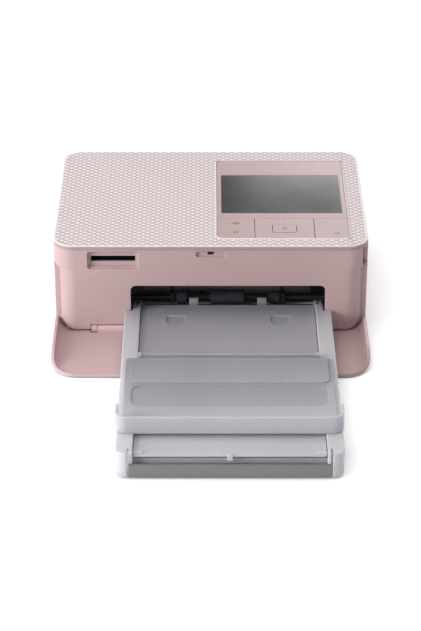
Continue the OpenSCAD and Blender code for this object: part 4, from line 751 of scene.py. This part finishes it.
def doorTray():
    low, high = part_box("front_door")
    rear, sideRear = high.y, fasciaY + door["sideRear"]
    front, back = low.y + door["edge"], rear + door["spare"]
    bpy.ops.object.select_all(action="DESELECT")
    bpy.ops.mesh.primitive_plane_add(size=1, location=(0, (front + back) / 2, door["rim"]))
    tray = newPiece("tray", (high.x - low.x - door["wall"] * 2, back - front, 1))
    startEdit(tray, "VERT")
    pick(tray, lambda vert: vert.co.y < front + 1 * mm, "verts")
    bpy.ops.mesh.bevel(offset=door["corner"], segments=door["cornerSteps"], affect="VERTICES")
    bpy.ops.mesh.select_mode(type="FACE")
    bpy.ops.mesh.select_all(action="SELECT")
    for inwards, share in door["curve"]:
        bpy.ops.mesh.inset(thickness=inwards * mm, depth=-share * (door["rim"] - door["floor"]))
    for cut in range(*door["rows"]):
        bpy.ops.mesh.select_all(action="SELECT")
        bpy.ops.mesh.bisect(plane_co=(0, fasciaY + cut * mm, 0), plane_no=(0, 1, 0))
    bpy.ops.mesh.select_all(action="SELECT")
    bpy.ops.mesh.bisect(plane_co=(0, sideRear, 0), plane_no=(0, 1, 0), clear_outer=True)
    mesh = bmesh.from_edit_mesh(tray.data)
    first, last = door["fall"]
    for vert in mesh.verts:  # the walls get lower towards the free edge
        along = min(1, max(0, (vert.co.y - fasciaY - first) / (last - first)))
        share = door["low"] + (1 - door["low"]) * along * along * (3 - 2 * along)
        vert.co.z = door["floor"] + (vert.co.z - door["floor"]) * share
    bmesh.update_edit_mesh(tray.data)
    endEdit()
    shell = tray.modifiers.new("shell", "SOLIDIFY")
    shell.thickness = door["wall"]
    shell.offset = -1
    shell.use_even_offset = True
    applyAll(tray)
    cutTray(tray, rear, sideRear)
    soft = tray.modifiers.new("soft", "BEVEL")
    soft.width = door["soft"]
    soft.segments = door["softSteps"]
    soft.limit_method = "ANGLE"
    soft.angle_limit = radians(door["softAngle"])
    applyAll(tray)
    return tray


def cutTray(tray, rear, sideRear):
    # Two notches for the hinge, and room for the fascia between the tray's sides
    inner, outer = door["ear"]
    earFront, side = fasciaY + door["earFront"], door["side"]
    under, over = door["cut"]
    for left, right, start in ((-outer, -inner, earFront), (inner, outer, earFront), (-side, side, rear)):
        notch = addBox("notch", (left, start, under), (right, sideRear + 1 * mm, over))
        cut = tray.modifiers.new("notch", "BOOLEAN")
        cut.operation = "DIFFERENCE"
        cut.solver = "EXACT"
        cut.object = notch
        applyAll(tray)
        bpy.data.objects.remove(notch)


def frontDoor():
    hingeY, hingeZ = fasciaY + door["hinge"][0], door["hinge"][1]
    half, radius = door["knuckle"][:2]
    (left, near, foot), (right, far, top) = door["hook"]
    hook = addBox("hook", (left, fasciaY + near, foot), (right, fasciaY + far, top))
    farTop = lambda vert: vert.co.z > top - 1 * mm and vert.co.y > fasciaY + far - 1 * mm
    roundEdges(hook, lambda edge: all(farTop(vert) for vert in edge.verts), door["hookRound"], 3)
    web = addBox("web", (-half, hingeY - radius, door["webLow"]), (half, hingeY, hingeZ))
    nearTop = lambda vert: vert.co.y < hingeY - radius * 0.9 and vert.co.z > hingeZ * 0.9
    roundEdges(web, lambda edge: all(nearTop(vert) for vert in edge.verts), door["webRound"], 3)
    knuckle = addRod("knuckle", (0, hingeY, hingeZ), *door["knuckle"])
    pin = addRod("pin", (0, hingeY, hingeZ), *door["pin"])
    piece = joinAs("doorTray", [doorTray(), knuckle, pin, web, hook])
    settle(piece, "pink_door", "front_door", angle=35)
    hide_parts("front_door")


latch = {
    # a black plate inside the hole that the door's hook enters, which paints the shade in it
    "half": 2.2 * mm,
    "deep": (2.0 * mm, 2.3 * mm),
    "drop": 5.4 * mm,  # from the cover's top to the middle of the latch recess
    "below": 1.3 * mm,
    "above": 2.0 * mm,
}


def latchShade():
    # a black plate where the hole holds only shade: painted shade
    holeZ = coverHigh.z - latch["drop"]
    front, back = latch["deep"]
    shade = addBox("latchShade", (-latch["half"], fasciaY + front, holeZ - latch["below"]),
                   (latch["half"], fasciaY + back, holeZ + latch["above"]))
    settle(shade, "black_plastic", "housing")


frontDoor()
latchShade()
print("front door modelled")


# Marks on the keys: short bars, a hooked arrow, a ring and a switch sign.
# Places are counted from the middle of their key.

marks = {
    "thick": 0.05 * mm,
    "line": 0.35 * mm,
    "lineRound": 0.45,  # share of the line's width that rounds its ends
    "ringSteps": 28,
    "menu": {"back": 6.4 * mm, "step": 0.95 * mm, "long": 4.6 * mm},
    "arrowFront": 5.4 * mm,
    "arrow": [
        # mm to the right and back, way, mm long, turned by degrees
        (0.1, 0, "x", 2.9, 0),
        (1.5, 0.75, "y", 1.8, 0),
        (0.75, 1.5, "x", 1.8, 0),
        (-0.95, 0.5, "y", 1.6, -45),
        (-0.95, -0.5, "y", 1.6, 45),
    ],
    "okRadius": 1.4 * mm,
    "tick": {"front": 2.4 * mm, "long": 1.6 * mm},  # in front of the pad's back edge
    "power": {"right": 2.8 * mm, "front": 6.4 * mm, "radius": 1.35 * mm, "gap": 80,
              "bar": 1.5 * mm, "barBack": 1.1 * mm},
}


def bar(name, centre, way, length, turn=0):
    # A thin bar with rounded ends, lying on a key
    line, thick = marks["line"], marks["thick"]
    size = (length, line, thick) if way == "x" else (line, length, thick)
    piece = addBlock(name, centre, size, turn)
    roundEdges(piece, lambda edge: abs(edgeSpan(edge).normalized().z) > 0.9,
               line * marks["lineRound"], 3)
    return piece


def ringMark(name, centre, radius, gap=0):
    # A flat ring, open over gap degrees at its back
    bpy.ops.object.select_all(action="DESELECT")
    bpy.ops.mesh.primitive_plane_add(size=1, location=(centre[0], centre[1] + radius, centre[2]),
                                     rotation=(0, radians(90), 0))
    piece = newPiece(name, (marks["thick"], marks["line"], 1))
    startEdit(piece, "VERT")
    bpy.ops.mesh.select_all(action="SELECT")
    if gap:
        bpy.ops.transform.rotate(value=radians(gap / 2), orient_axis="Z", center_override=centre)
    bpy.ops.mesh.select_all(action="SELECT")
    bpy.ops.mesh.spin(steps=marks["ringSteps"], angle=radians(360 - gap), center=centre, axis=(0, 0, 1))
    bpy.ops.mesh.select_all(action="SELECT")
    bpy.ops.mesh.remove_doubles(threshold=0.005 * mm)
    bpy.ops.mesh.normals_make_consistent(inside=False)
    endEdit()
    return piece


def printMark(name, parts, body):
    settle(joinAs(name, parts), "grey_print", body)


def keyMarks():
    lift = marks["thick"] / 2
    keyX, keyY, keyTop = (keyLow.x + keyHigh.x) / 2, (keyLow.y + keyHigh.y) / 2, keyHigh.z + lift
    menu = marks["menu"]
    menuY = keyY + menu["back"]
    bars = [bar("bar", (keyX, menuY + row * menu["step"], keyTop), "x", menu["long"]) for row in (-1, 0, 1)]
    printMark("menuMark", bars, "menu_key")
    arrowY = keyY - marks["arrowFront"]
    arrow = [bar("bar", (keyX + right * mm, arrowY + back * mm, keyTop), way, length * mm, radians(turn))
             for right, back, way, length, turn in marks["arrow"]]
    printMark("backMark", arrow, "menu_key")
    okLow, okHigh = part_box("ok_button")
    okX, okY = (okLow.x + okHigh.x) / 2, (okLow.y + okHigh.y) / 2
    ring = ringMark("okMark", (okX, okY, okHigh.z + lift), marks["okRadius"])
    printMark("okMark", [ring], "ok_button")
    padHigh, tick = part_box("nav_pad")[1], marks["tick"]
    short = bar("padMark", (okX, padHigh.y - tick["front"], padHigh.z + lift), "x", tick["long"])
    printMark("padMark", [short], "nav_pad")
    power = marks["power"]
    x, y, z = (powerLow.x + powerHigh.x) / 2 + power["right"], keyY - power["front"], powerHigh.z + lift
    sign = [ringMark("ring", (x, y, z), power["radius"], power["gap"]),
            bar("bar", (x, y + power["barBack"], z), "y", power["bar"])]
    printMark("powerMark", sign, "power_key")


keyMarks()
print("key marks modelled")


# Studio: pale floor, white surroundings, soft boxes

studio = {
    "floor": (0.80, 0.80, 0.80),
    "floorSize": 14,
    "paper": 20 * mm,  # size of the floor's faint clouds
    "floorGlow": 0.70,
    "glowReach": 0.10,  # how far from the object the glow of the floor fades, a painted shadow
    "sky": 0.36,
    "boxes": [
        # name, place, aimed at, width, height, watts
        ("softLeft", (-0.95, -0.50, 0.42), (0, 0, 0.03), 0.6, 0.6, 11),
        ("softTop", (-0.15, 0.20, 1.5), (0, 0, 0.03), 1.4, 1.0, 8.2),
        ("softBack", (0.55, 1.7, 0.56), (0.05, 0, 0.05), 1.0, 0.50, 8),
    ],
}


def layFloor():
    # The camera, reflections and see-through pieces see it glow, except close to the object, where a painted
    # shadow dims the glow
    bpy.ops.object.select_all(action="DESELECT")
    bpy.ops.mesh.primitive_plane_add(size=studio["floorSize"], location=(0, 0, 0))
    floor = bpy.context.active_object
    floor.name = "floor"
    finish = Finish("floor")
    seen = finish.put("LightPath", outlet="Is Camera Ray")
    rays = seen.socket.node.outputs
    for kind in ("Is Glossy Ray", "Is Transmission Ray"):
        seen = seen.larger(Wire(finish, rays[kind]))
    paper = finish.noise(studio["paper"], 3)
    # ambient occlusion dims the glow near the object: a painted shadow on the floor
    clear = finish.put("AmbientOcclusion", {"samples": 8}, {"Distance": studio["glowReach"]}, outlet="AO")
    finish.give(Base_Color=finish.mix(paper, tint(studio["floor"], 0.99), studio["floor"]), Roughness=0.9,
                Specular_IOR_Level=0.1)
    plain = Wire(finish, finish.shader.outputs[0])
    glow = finish.put("Emission", {}, {0: (1, 1, 1, 1), 1: studio["floorGlow"]})
    both = finish.put("AddShader", {}, {0: plain, 1: glow})
    shown = finish.put("MixShader", {}, {0: seen * clear, 1: plain, 2: both})
    finish.join(shown, finish.tree.nodes["Material Output"].inputs["Surface"])
    floor.data.materials.append(finish.owner)


def hangSoftBoxes():
    for name, place, target, width, height, watts in studio["boxes"]:
        data = bpy.data.lights.new(name, "AREA")
        data.shape = "RECTANGLE"
        data.size = width
        data.size_y = height
        data.energy = watts
        lamp = bpy.data.objects.new(name, data)
        lamp.location = place
        lamp.rotation_euler = (Vector(target) - Vector(place)).to_track_quat("-Z", "Y").to_euler()
        scene.collection.objects.link(lamp)


def lightSky():
    # White to the camera, dimmer as a light
    world = bpy.data.worlds.new("studio")
    scene.world = world
    finish = Finish("studio", world)
    sky = finish.tree.nodes["Background"]
    path = finish.put("LightPath", outlet="Is Camera Ray")
    sky.inputs[0].default_value = (1, 1, 1, 1)
    finish.join(studio["sky"] + path * (1 - studio["sky"]), sky.inputs[1])


layFloor()
hangSoftBoxes()
lightSky()
print("studio lit")
